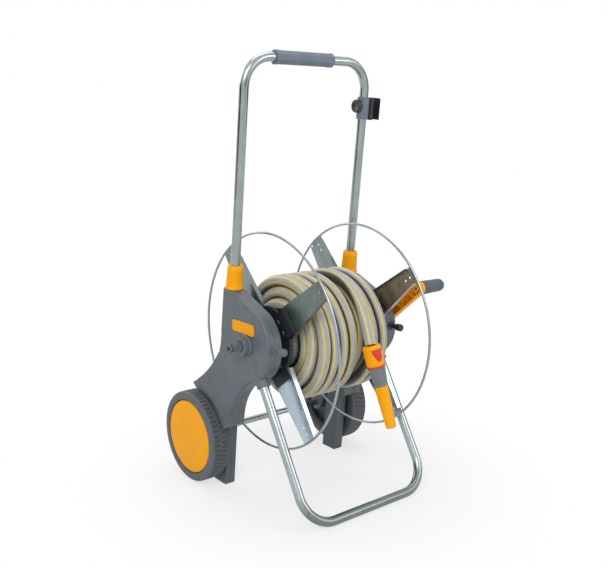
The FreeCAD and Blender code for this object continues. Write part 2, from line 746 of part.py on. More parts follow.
def make_housing(label, side):
    face = housing_face()
    near = D["housing_in"].value
    middle = D["housing_mid"].value
    far = D["housing_out"].value
    wall = D["wall"].value
    root = D["neck_top"].value - D["spigot_root"].value
    whole = rounded_slab(face, side)
    room = slab(face.makeOffset2D(-wall), side, near + wall, far - wall)
    spigot = bar_along(on_leg(side), D["spigot_r"].value, D["spigot_top"].value - root, 0, root)
    posts = housing_posts(side)
    skeleton = posts[0].multiFuse(posts[1:]).common(whole)
    shell = whole.cut(room).fuse([skeleton, spigot, guard_wedge(face, side)])
    shell = shell.cut(housing_bores(side))
    reach = D["guard_x"].value + OVER
    halves = {"inner": (near - OVER, middle), "outer": (middle, reach)}
    for half, (low, high) in halves.items():
        keep = round_bar(side, WHOLE_CART, low, high, *drum_centre())
        piece = shell.common(keep)
        solids = sorted(piece.Solids, key=lambda item: item.Volume)
        node(f"housing_{label}_{half}", solid_feature(f"housing_{label}_{half}", solids[-1]))


def make_housing_screws():
    near = D["housing_in"].value
    inside = near + D["wall"].value
    end = D["housing_out"].value - D["wall"].value
    solids = []
    for label, side in SIDES:
        for y, z in screw_spots():
            head = round_bar(side, D["screw_head"].value, near, inside, y, z)
            body = round_bar(side, D["screw_r"].value, inside, end, y, z)
            solids.append(head.fuse(body).removeSplitter())
    node("housing_screws", solid_feature("housing_screws", Part.makeCompound(solids)))


def make_peg(label, side):
    """A headed peg that points forward from the housing's round front."""
    spot = Spot(D["centre_x"] + D["housing_mid"] * side, D["drum_y"] - D["cover_r"] + OVER,
                D["drum_z"] + D["peg_rise"], FreeCAD.Rotation(ABOUT_X, QUARTER))
    ease = D["peg_ease"]
    neck = D["peg_neck"]
    head = D["peg_head"]
    profile = [
        (0, 0), (D["peg_flange"], 0), (D["peg_flange"], D["peg_flange_h"]),
        (neck, D["peg_flange_h"] + ease), (neck, D["peg_head_at"]), (head, D["peg_head_at"] + ease),
        (head, D["peg_l"] - ease), (head - ease, D["peg_l"]), (0, D["peg_l"]),
    ]
    peg = turned(f"peg_{label}_body", profile, spot)
    outer = DOC.getObject(f"housing_{label}_outer")
    inner = DOC.getObject(f"housing_{label}_inner")
    return node(f"peg_{label}", cut(f"peg_{label}", cut(f"peg_{label}_a", peg, outer), inner))


def make_badge():
    """A plain badge plate on the left housing: rounded ends, low rim, no lettering."""
    half_length = D["badge_half_l"].value
    half_height = D["badge_half_h"].value
    rise = D["badge_rise"].value
    rim = D["badge_rim"].value
    start_y = D["drum_y"].value + D["badge_back"].value - half_length
    start_z = D["drum_z"].value + D["badge_up"].value - half_height
    x = D["centre_x"].value - D["housing_out"].value - rise
    box = Part.makeBox(rise, 2 * half_length, 2 * half_height)
    box.translate(FreeCAD.Vector(x, start_y, start_z))
    upright = []
    for edge in box.Edges:
        way = edge.tangentAt(edge.FirstParameter)
        if abs(way.x) > 1 - NEAR:
            upright.append(edge)
    plate = box.makeFillet(D["badge_round"].value, upright)
    field = Part.makeBox(rise, 2 * (half_length - rim), 2 * (half_height - rim))
    field.translate(FreeCAD.Vector(x - D["badge_field"].value, start_y + rim, start_z + rim))
    node("badge_left", solid_feature("badge_left", plate.cut(field)))


def make_stand_socket(label, side):
    """A short sleeve where a stand leg enters the housing."""
    low = D["socket_at"]
    spot = on_stand()
    profile = ring_profile(D["tube_r"], D["tube_r"] + D["socket_wall"], low, low + D["socket_l"])
    base = Spot(spot.xyz[0] + D["stand_half"] * side, spot.xyz[1], spot.xyz[2], spot.turn)
    sleeve = turned(f"stand_socket_{label}_body", profile, base)
    outer = DOC.getObject(f"housing_{label}_outer")
    inner = DOC.getObject(f"housing_{label}_inner")
    trimmed = cut(f"stand_socket_{label}_a", sleeve, outer)
    whole = cut(f"stand_socket_{label}_b", trimmed, inner)
    DOC.recompute()
    solids = sorted(whole.Shape.Solids, key=lambda item: item.BoundBox.ZMin)
    node(f"stand_socket_{label}", solid_feature(f"stand_socket_{label}", solids[0]))


def make_strut(label, side):
    wide = D["strut_out"] - D["strut_in"]
    deep = D["strut_fore"] + D["strut_aft"]
    middle = (D["strut_out"] + D["strut_in"]) / 2 - D["leg_half"]
    below = D["strut_below"]
    spot = Spot(middle * side - wide / 2, -D["strut_fore"], -below)
    bar = block(f"strut_{label}_bar", wide, deep, D["strut_top"] + below, spot)
    bore = cylinder(f"strut_{label}_bore", D["tube_r"] + D["run"], D["strut_top"],
                    Spot(0, 0, D["strut_floor"]))
    drilled = cut(f"strut_{label}_drilled", bar, bore, on_leg(side))
    half = D["handle_top"] / 2
    floor = block(f"strut_{label}_floor", half * 2, half * 2, half * 2,
                  Spot(D["centre_x"] + D["leg_half"] * side - half, -half, half * -2))
    return node(f"strut_{label}", cut(f"strut_{label}", drilled, floor))


def make_bearing(label, side):
    outer = D["shaft_r"] + D["bearing_wall"]
    profile = ring_profile(D["shaft_r"] + D["run"], outer, D["housing_in"], D["housing_out"])
    node(f"bearing_{label}", turned(f"bearing_{label}", profile, on_drum_axis(side)))


# ------------------------------------------------------- handle and clip ----
def make_handle():
    foot = D["handle_bottom"]
    hollow_u_tube("handle_tube", D["leg_half"], D["handle_bend"], foot, D["handle_top"], on_leg())
    sides = 8
    corners = []
    for index in range(sides):
        angle = 2 * math.pi * (index + 0.5) / sides
        corners.append((D["grip_r"] * math.cos(angle), D["grip_r"] * math.sin(angle)))
    lay = FreeCAD.Rotation(ABOUT_Y, QUARTER)
    start = Spot(D["grip_shift"] - D["grip_half"], 0, D["handle_top"], lay)
    bar = padded("handle_grip_bar", [corners], D["grip_half"] * 2, start)
    bore = cylinder("handle_grip_bore", D["tube_r"], D["grip_half"] * 2, start)
    node("handle_grip", cut("handle_grip", bar, bore, on_leg()))


def make_collar(label, side):
    thread = D["spigot_r"] + D["run"]
    bore = D["tube_r"] + D["run"]
    start = D["neck_top"] + D["gap"]
    step = D["spigot_top"] + D["gap"]
    top = start + D["collar_l"]
    profile = [
        (thread, start), (D["collar_r"], start), (D["collar_r"], start + D["collar_skirt"]),
        (D["collar_top"], top - D["collar_skirt"]), (D["collar_top"] - D["collar_ease"], top),
        (bore, top), (bore, step), (thread, step),
    ]
    node(f"collar_{label}", turned(f"collar_{label}", profile, on_leg(side)))


def make_cradle():
    inner = D["cradle_r"] - D["cradle_wall"]
    centre = D["clip_r"] + D["cradle_r"] - D["cradle_sink"]
    low = D["clip_low"] - D["cradle_drop"]
    gape = inner * D["cradle_gape"]
    ring = turned("clip_cradle_ring", ring_profile(inner, D["cradle_r"], low, low + D["cradle_h"]),
                  Spot(centre, 0, 0))
    mouth = block("clip_cradle_mouth", gape, D["cradle_r"], D["cradle_h"] * 2,
                  Spot(centre - gape / 2, -D["cradle_r"] - OVER, low - D["cradle_h"] / 2))
    opened = cut("clip_cradle_open", ring, mouth)
    below = Spot(0, 0, low - D["cradle_h"] / 2)
    gripped = cylinder("clip_cradle_room", D["clip_r"], D["cradle_h"] * 2, below)
    node("clip_cradle", cut("clip_cradle", opened, gripped, on_leg(RIGHT)))


def make_clip():
    spot = on_leg(RIGHT)
    clamp = ring_profile(D["tube_r"], D["clip_r"], D["clip_low"], D["clip_low"] + D["clip_h"])
    ring_body = turned("clip_clamp_ring", clamp, LOCAL)
    level = Spot(0, 0, D["clip_low"] + D["knob_up"], FreeCAD.Rotation(ABOUT_Y, -QUARTER))
    tip = D["tube_r"] + D["stem_play"]
    under = D["clip_r"] + D["gap"]
    face = D["clip_r"] + D["knob_thick"]
    head = D["screw_head_r"]
    ease = D["knob_ease"]
    knob = [
        (0, tip), (D["knob_stem"], tip), (D["knob_stem"], under), (head - ease, under),
        (head, D["clip_r"] + D["knob_step"]), (head, face - ease), (head - ease, face), (0, face),
    ]
    screw = turned("clip_screw_body", knob, level)
    node("clip_screw", group("clip_screw", [screw], spot))
    hole = cylinder("clip_clamp_hole", D["knob_stem"] + D["run"], D["clip_r"] * 2, level)
    node("clip_clamp", cut("clip_clamp", ring_body, hole, spot))
    make_cradle()


# ---------------------------------------------------------------- wheels ----
def make_wheel(label, side):
    spot = on_axle(side)
    start = D["wheel_in"]
    end = start + D["wheel_w"]
    seat = end - D["rim_seat"]
    bore = D["axle_r"] + D["run"]
    hub = D["rim_hub_r"]
    barrel = D["rim_r"] - D["rim_wall"]
    disc = start + D["rim_disc_at"]
    disc_end = disc + D["rim_wall"]
    rim = [
        (bore, start), (hub, start), (hub, disc), (barrel, disc), (barrel, start + D["rim_set"]),
        (D["rim_r"], start + D["rim_set"]), (D["rim_r"], seat), (barrel, seat), (barrel, disc_end),
        (hub, disc_end), (hub, start + D["rim_hub_l"]), (bore, start + D["rim_hub_l"]),
    ]
    node(f"rim_{label}", turned(f"rim_{label}", rim, spot))
    ease = D["tyre_ease"]
    room = D["cap_r"] + D["cap_gap"]
    tyre = [
        (D["rim_r"], start), (D["wheel_r"] - ease, start), (D["wheel_r"], start + ease),
        (D["wheel_r"], end - ease), (D["wheel_r"] - ease, end), (room, end), (room, seat),
        (D["rim_r"], seat),
    ]
    node(f"tyre_{label}", turned(f"tyre_{label}", tyre, spot))
    clip_end = seat - D["cap_clip"]
    crown = end + D["cap_rise"]
    cap = [
        (0, seat), (D["cap_clip_r"], seat), (D["cap_clip_r"], clip_end), (barrel, clip_end),
        (barrel, seat), (D["cap_r"], seat), (D["cap_r"], seat + D["cap_lip"]),
        (D["cap_flat"], crown - D["cap_edge"]), (0, crown),
    ]
    node(f"cap_{label}", turned(f"cap_{label}", cap, spot))


def make_axle():
    end = D["axle_end"]
    rod = ring_profile(0, D["axle_r"], -end, end)
    node("axle", turned("axle", rod, on_axle()))
    hub_end = D["wheel_in"] + D["rim_hub_l"]
    nuts = []
    for label, side in SIDES:
        profile = ring_profile(D["axle_r"], D["nut_r"], hub_end + D["gap"], hub_end + D["nut_l"])
        nuts.append(turned(f"axle_nut_{label}", profile, on_axle(side)))
    node("axle_nuts", group("axle_nuts", nuts))


# ------------------------------------------------------------------ drum ----
def make_hub(label, side):
    spot = on_drum_axis(side)
    seat = D["ring_x"] - D["spoke_t"] / 2
    face = D["hub_in"]
    root = face - D["hub_spigot"]
    end = D["housing_in"] - D["gap"]
    boss = D["hub_boss_r"]
    spigot = D["core_r"] - D["core_wall"]
    hollow = spigot - D["hub_spigot_wall"]
    profile = [
        (D["shaft_r"], root), (boss, root), (boss, face), (hollow, face), (hollow, root),
        (spigot, root), (spigot, face), (D["hub_r"], face), (D["hub_r"], seat), (boss, seat),
        (boss, end), (D["shaft_r"], end),
    ]
    parts = [turned(f"hub_{label}_disc", profile, spot)]
    drills = []
    for index in range(SPOKES):
        parts.append(hub_arm(label, side, index))
        for number, (u, v) in enumerate(rivet_spots()):
            name = f"hub_{label}_drill_{index}_{number}"
            drills.append(cylinder(name, D["rivet_r"], D["hub_in"], rivet_place(side, index, u, v, seat)))
    whole = fuse(f"hub_{label}_whole", parts)
    node(f"hub_{label}", cut(f"hub_{label}", whole, group(f"hub_{label}_drills", drills)))


def hub_arm(label, side, index):
    """A flat arm that covers the inner end of one spoke."""
    inner = D["ring_x"] + D["spoke_t"] / 2
    base = inner if side == RIGHT else -(inner + D["hub_arm_t"])
    spot = Spot(D["centre_x"] + base, D["drum_y"], D["drum_z"], spoke_turn(side, index))
    root = D["hub_boss_r"] - D["hub_arm_t"]
    half_root = D["spoke_root"]
    half_end = D["spoke_mid"] - D["spoke_t"] * 2
    half_tip = half_end - OVER
    outline = [
        (-half_root, root), (half_root, root), (half_end, D["hub_r"]), (half_tip, D["hub_arm_end"]),
        (-half_tip, D["hub_arm_end"]), (-half_end, D["hub_r"]),
    ]
    return padded(f"hub_{label}_arm_{index}", [outline], D["hub_arm_t"], spot, "YZ_Plane")


def rivet_place(side, index, u, v, along):
    """Where a rivet of one spoke stands, its own Z axis pointing outwards."""
    offset = spoke_turn(side, index).multVec(FreeCAD.Vector(0, as_dim(u).value, as_dim(v).value))
    return Spot(D["centre_x"] + along * side, D["drum_y"] + offset.y, D["drum_z"] + offset.z, outward(side))


def spoke_turn(side, index):
    """Turn that points a piece's own Z axis along one spoke, its own X outwards."""
    angle = D["spoke_angle"].value + QUARTER * index
    return FreeCAD.Rotation(ABOUT_X, QUARTER - angle)


def drill_sheet(body, name, centres, radius):
    """Round holes through the whole sheet."""
    pocket = body.newObject("PartDesign::Pocket", name)
    pocket.Profile = hole_sketch(body, centres, radius)
    pocket.Type = "ThroughAll"
    pocket.Midplane = True
    return pocket


def make_spoke(label, side, index):
    name = f"spoke_{label}_{index + 1}"
    edge = D["spoke_t"]
    seat = D["ring_x"] - edge / 2
    base = seat if side == RIGHT else -(seat + edge)
    spot = Spot(D["centre_x"] + base, D["drum_y"], D["drum_z"], spoke_turn(side, index))
    rim = D["hub_r"] + D["spoke_shoulder"]
    tip = D["ring_r"] - D["wire_r"] + D["spoke_lap"]
    root = D["spoke_root"]
    widest = D["spoke_mid"]
    end = D["spoke_tip"]
    body = DOC.addObject("PartDesign::Body", name)
    outline = [
        (-root, D["spoke_in"]), (root, D["spoke_in"]), (widest, rim), (end, tip), (-end, tip),
        (-widest, rim),
    ]
    sheet_pad = body.newObject("PartDesign::Pad", name + "_sheet")
    sheet_pad.Profile = sketch_loops(body, "YZ_Plane", [outline])
    sheet_pad.setExpression("Length", edge.text)
    low = rim + D["fold_start"]
    high = tip - D["fold_end"]
    folds = []
    for hand in (RIGHT, LEFT):
        folds.append([
            (widest * hand, low), (end * hand, high), ((end - edge) * hand, high),
            ((widest - edge) * hand, low),
        ])
    fold_pad = body.newObject("PartDesign::Pad", name + "_folds")
    fold_pad.Profile = sketch_loops(body, "YZ_Plane", folds)
    depth = D["spoke_flange"] if side == RIGHT else D["spoke_flange"] + edge
    fold_pad.setExpression("Length", depth.text)
    fold_pad.Reversed = side == RIGHT
    ends = [(0, tip - D["spoke_hole_1"]), (0, tip - D["spoke_hole_2"])]
    drill_sheet(body, name + "_holes", ends, D["spoke_hole_r"])
    body.Tip = drill_sheet(body, name + "_rivet_holes", rivet_spots(), D["rivet_r"])
    node(name, spot.put(body))


def rivet_spots():
    high = D["hub_r"] - D["rivet_out"]
    return [(0, D["spoke_in"] + D["rivet_low"]), (-D["rivet_out"], high), (D["rivet_out"], high)]


def hole_sketch(body, centres, radius):
    sketch = body.newObject("Sketcher::SketchObject", body.Name + "_drill")
    sketch.AttachmentSupport = [(own_plane(body, "YZ_Plane"), "")]
    sketch.MapMode = "FlatFace"
    for index, (u, v) in enumerate(centres):
        u = as_dim(u)
        v = as_dim(v)
        sketch.addGeometry(Part.Circle(vec(u, v, 0), FreeCAD.Vector(0, 0, 1), as_dim(radius).value))
        rules = (("DistanceX", u), ("DistanceY", v))
        for kind, dim in rules:
            place = sketch.addConstraint(Sketcher.Constraint(kind, -1, 1, index, 3, dim.value))
            sketch.setExpression(f"Constraints[{place}]", dim.text)
        sketch.addConstraint(Sketcher.Constraint("Radius", index, as_dim(radius).value))
    return sketch


def make_rivets():
    """Rivets that hold the spokes to the hub discs: a shank and an outer head."""
    shank = D["rivet_r"]
    seat = D["ring_x"] - D["spoke_t"] / 2
    head = D["spoke_t"] + D["hub_arm_t"]
    crown = head + D["rivet_crown"]
    wide = shank + D["rivet_lip"]
    profile = [(0, 0), (shank, 0), (shank, head), (wide, head), (wide - OVER, crown), (0, crown)]
    rivets = []
    for label, side in SIDES:
        for index in range(SPOKES):
            for number, (u, v) in enumerate(rivet_spots()):
                spot = rivet_place(side, index, u, v, seat)
                rivets.append(turned(f"rivet_{label}_{index}_{number}", profile, spot))
    node("spoke_rivets", group("spoke_rivets", rivets))


def make_ring(label, side):
    spot = Spot(D["centre_x"] + D["ring_x"] * side, D["drum_y"], D["drum_z"], outward(RIGHT))
    node(f"ring_{label}", corner(f"ring_{label}", D["ring_r"], D["wire_r"], 360, spot))


def outlet_spot():
    turn = FreeCAD.Rotation(ABOUT_X, QUARTER * 2)
    return Spot(D["centre_x"] - D["outlet_x"], D["drum_y"], D["drum_z"], turn)


def make_core():
    spot = on_drum_axis()
    inner = D["core_r"] - D["core_wall"]
    tube = turned("drum_core_tube", ring_profile(inner, D["core_r"], -D["hub_in"], D["hub_in"]), spot)
    hole = cylinder("drum_core_hole", D["outlet_r"], D["core_r"] * 2, outlet_spot())
    node("drum_core", cut("drum_core", tube, hole))


def make_shaft():
    """The shaft carries water from its left end to the outlet under the hose."""
    spot = on_drum_axis()
    left = D["shaft_inset"] - D["housing_out"]
    right = D["crank_out"] - D["crank_seat"]
    rod = turned("drum_shaft_rod", ring_profile(0, D["shaft_r"], left, right), spot)
    bore = ring_profile(0, D["shaft_bore"], left - OVER, left + D["passage_l"])
    passage = turned("drum_shaft_bore", bore, spot)
    port = cylinder("drum_shaft_port", D["outlet_bore"], D["shaft_r"] * 2, outlet_spot())
    bored = cut("drum_shaft_bored", rod, passage)
    node("drum_shaft", cut("drum_shaft", bored, port))
    tube = ring_profile(D["outlet_bore"], D["outlet_r"], D["outlet_root"], D["core_r"] - OVER)
    pipe = turned("outlet_pipe_tube", tube, outlet_spot())
    seat = turned("outlet_pipe_seat", ring_profile(0, D["shaft_r"], left, right), spot)
    node("outlet_pipe", cut("outlet_pipe", pipe, seat))


def make_coil():
    """The wound hose as one solid of its outer shape, grooved where the free end lies in."""
    layer = D["hose_d"]
    left = -D["coil_half"]
    profile = [
        (D["core_r"], left), (D["core_r"] + layer, left), (D["core_r"] + layer, left + D["layer_step"]),
        (D["core_r"] + layer * 2, left + D["layer_step"]),
        (D["core_r"] + layer * 2, left + D["layer_step"] * 2),
        (coil_outer(), left + D["layer_step"] * 2), (coil_outer(), D["coil_right"]),
        (D["core_r"] + layer * 2, D["coil_right"]), (D["core_r"] + layer * 2, D["coil_half"]),
        (D["core_r"], D["coil_half"]),
    ]
    wound = turned("hose_coil_wound", profile, on_drum_axis())
    node("hose_coil", cut("hose_coil", wound, DOC.getObject("hose_tail")))


# The free end of the hose, from the coil's right end over the back and the top
# to the connector: place along the drum, degrees above the front horizontal,
# height over the outer layer.
TAIL = (
    (90.0, 262.0, -9.0),
    (84.0, 236.0, -2.0),
    (73.0, 209.0, 8.0),
    (60.0, 181.0, 12.0),
    (50.0, 153.0, 7.0),
    (45.0, 125.0, -5.0),
    (43.5, 98.0, -9.5),
    (41.5, 71.0, -9.0),
    (36.0, 47.0, -3.4),
    (29.0, 24.0, 7.4),
    (22.0, 0.9, 21.1),
)
NOZZLE_WAY = (22.0, -38.0, -153.5)
# Share of a run that its two end arcs may take up.
ARC_SHARE = 0.45


def coil_outer():
    return D["core_r"] + D["hose_d"] * LAYERS


def tail_point(along, degrees, lift):
    reach = coil_outer().value + lift
    y, z = polar((0, 0), reach, 2 * QUARTER - degrees)
    return along, y, z


def drum_point(point):
    return vec(D["centre_x"] + point[0], D["drum_y"] + point[1], D["drum_z"] + point[2])


def rounded_path(points):
    """Straight runs joined by tangent arcs; returns the wire and the arcs' radii."""
    edges = []
    radii = []
    start = points[0]
    for before, here, after in zip(points, points[1:], points[2:]):
        run_in = (here - before)
        run_out = (after - here)
        half_turn = run_in.getAngle(run_out) / 2
        radius = ARC_SHARE * min(run_in.Length, run_out.Length) / math.tan(half_turn)
        radii.append(radius)
        reach = radius * math.tan(half_turn)
        run_in.normalize()
        run_out.normalize()
        enter = here - run_in * reach
        leave = here + run_out * reach
        inward = (run_out - run_in).normalize()
        middle = here + inward * (radius / math.cos(half_turn) - radius)
        edges.append(Part.LineSegment(start, enter).toShape())
        edges.append(Part.Arc(enter, middle, leave).toShape())
        start = leave
    edges.append(Part.LineSegment(start, points[-1]).toShape())
    return Part.Wire(edges), radii


def make_tail():
    radius = D["hose_d"].value / 2
    wire, radii = rounded_path([drum_point(tail_point(*place)) for place in TAIL])
    way = wire.Edges[0].tangentAt(wire.Edges[0].FirstParameter)
    disc = Part.Face(Part.Wire(Part.Circle(wire.Edges[0].Vertexes[0].Point, way, radius).toShape()))
    pipe = Part.BRepOffsetAPI.MakePipeShell(wire)
    pipe.add(disc.OuterWire)
    pipe.build()
    pipe.makeSolid()
    shape = pipe.shape()
    print("hose tail radii", [round(value) for value in radii])
    print("hose tail volume ratio", round(shape.Volume / (math.pi * radius ** 2 * wire.Length), 4))
    print("hose tail length", round(wire.Length))
    node("hose_tail", solid_feature("hose_tail", shape))


def nozzle_spot():
    way = FreeCAD.Vector(*NOZZLE_WAY)
    turn = FreeCAD.Rotation(FreeCAD.Vector(0, 0, 1), way)
    x, y, z = tail_point(*TAIL[-1])
    return Spot(D["centre_x"] + x, D["drum_y"] + y, D["drum_z"] + z, turn)


def make_nozzle():
    spot = nozzle_spot()
    radius = D["connector_r"]
    end = D["connector_l"]
    band = end - D["band_w"]
    swell = D["connector_swell"]
    ease = D["connector_neck"]
    body = [
        (0, 0), (radius - ease, 0), (radius - D["gap"], ease), (radius, swell), (radius, band), (0, band),
    ]
    node("connector_body", turned("connector_body", body, spot))
    node("connector_band", turned("connector_band", ring_profile(0, radius, band, end), spot))
    sleeve_end = end + D["sleeve_l"]
    stem_end = sleeve_end + D["stem_l"]
    sleeve = [
        (0, end), (radius - D["sleeve_in"], end), (radius - D["sleeve_taper"], sleeve_end),
        (D["stem_r"], sleeve_end), (D["stem_r"], stem_end), (0, stem_end),
    ]
    node("nozzle_sleeve", turned("nozzle_sleeve", sleeve, spot))
    barrel_end = sleeve_end + D["barrel_l"]
    start = sleeve_end + D["gap"]
    bore = D["stem_r"] + D["run"]
    chamber = stem_end + OVER
    barrel = [
        (bore, start), (D["barrel_r"], start), (D["barrel_r"] - D["barrel_draft"], start + D["barrel_band"]),
        (D["tip_r"], barrel_end), (D["mouth_r"], barrel_end), (D["jet_r"], barrel_end - D["mouth_l"]),
        (D["jet_r"], chamber), (bore, chamber),
    ]
    node("nozzle_barrel", turned("nozzle_barrel", barrel, spot))


# ----------------------------------------------------------------- crank ----
def crank_turn():
    return FreeCAD.Rotation(ABOUT_X, QUARTER - D["crank_angle"].value)


def arm_outline(hub, tip, reach):
    """A tapered arm with round ends, as a face at x = 0: hub at the origin, tip up Z."""
    lean = math.asin((hub - tip) / reach)
    low, high = [(radius * math.cos(lean), centre + radius * math.sin(lean))
                 for centre, radius in ((0, hub), (reach, tip))]
    low_back = (-low[0], low[1])
    high_back = (-high[0], high[1])
    edges = [
        flat_line(low, high),
        flat_arc(high, (0, reach + tip), high_back),
        flat_line(high_back, low_back),
        flat_arc(low_back, (0, -hub), low),
    ]
    return Part.Face(Part.Wire(edges))


def crank_ribs(depth):
    """Zigzag ribs across the hollow back of the arm."""
    hub = D["crank_hub_r"].value
    tip = D["crank_tip_r"].value
    reach = D["crank_r"].value
    thick = D["crank_rib"].value
    count = 5
    pitch = (reach - hub - tip) / count
    ribs = []
    for index in range(count):
        centre = hub + pitch * (index + 0.5)
        swing = 1 if index % 2 else -1
        half = hub - (hub - tip) * centre / reach
        length = math.hypot(2 * half, pitch) + 2 * thick
        rib = Part.makeBox(depth, length, thick)
        rib.translate(FreeCAD.Vector(0, -length / 2, -thick / 2))
        rib.rotate(FreeCAD.Vector(0, 0, 0), ABOUT_X, math.degrees(math.atan2(pitch, 2 * half * swing)))
        rib.translate(FreeCAD.Vector(0, 0, centre))
        ribs.append(rib)
    return ribs


def arm_post(radius, depth, reach=0):
    return Part.makeCylinder(radius, depth, FreeCAD.Vector(0, 0, reach), ABOUT_X)


def make_crank():
    hub = D["crank_hub_r"].value
    tip = D["crank_tip_r"].value
    reach = D["crank_r"].value
    near = D["crank_in"].value
    web = D["crank_web"].value
    depth = D["crank_out"].value - near
    whole = arm_outline(hub, tip, reach).extrude(FreeCAD.Vector(depth, 0, 0))
    hollow = arm_outline(hub - web, tip - web, reach).extrude(FreeCAD.Vector(depth - web, 0, 0))
    ribs = [rib.common(whole) for rib in crank_ribs(depth - web)]
    posts = [
        arm_post(D["shaft_r"].value + D["shaft_boss"].value, depth),
        arm_post(D["pin_r"].value + D["pin_boss"].value, depth, reach),
    ]
    holes = [
        arm_post(D["shaft_r"].value, depth - D["crank_seat"].value),
        arm_post(D["bolt_r"].value, depth),
        arm_post(D["pin_r"].value, depth, reach),
    ]
    arm = whole.cut(hollow).fuse(ribs + posts).cut(holes).removeSplitter()
    arm.translate(FreeCAD.Vector(near, 0, 0))
    arm.rotate(FreeCAD.Vector(0, 0, 0), ABOUT_X, QUARTER - D["crank_angle"].value)
    arm.translate(vec(D["centre_x"], D["drum_y"], D["drum_z"]))
    node("crank_arm", solid_feature("crank_arm", arm))


def on_crank_pin():
    offset = crank_turn().multVec(FreeCAD.Vector(0, 0, D["crank_r"].value))
    return Spot(D["centre_x"], D["drum_y"] + offset.y, D["drum_z"] + offset.z, outward(RIGHT))


def make_crank_fittings():
    out = D["crank_out"]
    seat = out - D["crank_seat"]
    head = out + D["bolt_head"]
    ease = D["knob_ease"]
    wide = D["bolt_head_r"]
    bolt = [(0, seat), (D["bolt_r"], seat), (D["bolt_r"], out), (wide, out), (wide, head - ease),
            (wide - ease, head), (0, head)]
    node("crank_bolt", turned("crank_bolt", bolt, on_drum_axis()))
    pin_end = D["knob_end"] - D["pin_inset"]
    collar = pin_end - D["pin_head"]
    pin = [(0, D["crank_in"]), (D["pin_r"], D["crank_in"]), (D["pin_r"], collar), (D["pin_head_r"], collar),
           (D["pin_head_r"], pin_end), (0, pin_end)]
    node("crank_pin", turned("crank_pin", pin, on_crank_pin()))
    play = D["pin_room"]
    start = out + D["gap"]
    bore = D["pin_r"] + D["run"]
    room = D["pin_head_r"] + play
    grip = D["knob_r"]
    end = D["knob_end"]
    third = D["knob_round"] / 3
    knob = [
        (bore, start), (grip, start), (grip + D["knob_swell"], start + D["knob_collar"]),
        (grip - OVER, end - D["knob_round"]), (grip - third, end - third - OVER),
        (grip - third * 2, end - OVER), (0, end), (0, pin_end + play), (room, pin_end + play),
        (room, collar - play), (bore, collar - play),
    ]
    node("crank_grip", turned("crank_grip", knob, on_crank_pin()))


# ----------------------------------------------------------- water inlet ----
def make_inlet():
    spot = on_drum_axis(LEFT)
    face = D["housing_out"]
    bore = D["shaft_bore"]
    flange = D["inlet_flange"]
    rise = face + D["inlet_flange_h"]
    ease = D["inlet_ease"]
    radius = D["inlet_r"]
    top = face + D["inlet_h"]
    boss = [(bore, face), (flange, face), (flange, rise), (radius, rise + ease), (radius, top - ease),
            (radius - ease, top), (bore, top)]
    node("inlet_boss", turned("inlet_boss", boss, spot))
    bore = D["nipple_bore"]
    nut = D["nipple_nut"]
    neck = D["nipple_neck"]
    radius = D["nipple_r"]
    nut_end = top + D["nipple_nut_h"]
    neck_end = top + D["nipple_neck_end"]
    groove = top + D["groove_at"]
    groove_end = groove + D["groove_w"]
    end = top + D["nipple_l"]
    nipple = [
        (bore, top), (nut, top), (nut, nut_end), (neck, nut_end + OVER), (neck, neck_end),
        (radius, neck_end + OVER), (radius, groove), (D["groove_r"], groove), (D["groove_r"], groove_end),
        (radius, groove_end), (radius, end - OVER), (D["nipple_tip"], end), (bore, end),
    ]
    node("inlet_nipple", turned("inlet_nipple", nipple, spot))
    play = D["seal_play"]
    seal = ring_profile(D["groove_r"], D["seal_r"], groove + play, groove_end - play)
    node("inlet_seal", turned("inlet_seal", seal, spot))


# ----------------------------------------------------------------- build ----
def build():
    for label, side in SIDES:
        make_housing(label, side)
        make_strut(label, side)
        make_bearing(label, side)
    make_housing_screws()
    DOC.recompute()
    hollow_u_tube("stand_tube", D["stand_half"], D["stand_bend"], D["stand_leg"], Dim(0), on_stand())
    for label, side in SIDES:
        make_peg(label, side)
        make_stand_socket(label, side)
    make_badge()
    make_axle()
    make_inlet()
    make_handle()
    make_clip()
    for label, side in SIDES:
        make_collar(label, side)
        make_wheel(label, side)
        make_hub(label, side)
        make_ring(label, side)
        for index in range(SPOKES):
            make_spoke(label, side, index)
    make_rivets()
    make_core()
    make_shaft()
    make_tail()
    make_coil()
    make_nozzle()
    make_crank()
    make_crank_fittings()
    DOC.recompute()


def check():
    faults = []
    for obj in DOC.Objects:
        if "Invalid" in obj.State or "Error" in obj.State:
            faults.append(f"{obj.Name} {obj.State}")
    for obj in NODES:
        if obj.Shape.isNull() or not obj.Shape.isValid() or not obj.Shape.Solids:
            faults.append(f"{obj.Label} has no valid solid")
    if faults:
        raise RuntimeError("; ".join(faults))


def export():
    os.makedirs(OUTPUT, exist_ok=True)
    for obj in NODES:
        obj.Shape.exportStep(f"{OUTPUT}/{obj.Label}.step")
        print(obj.Label, len(obj.Shape.Solids), round(obj.Shape.Volume / 1000, 1))
    print("nodes", len(NODES))


build()
check()
export()
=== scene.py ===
import json
import math
import bmesh
import bpy
from mathutils import Matrix, Vector


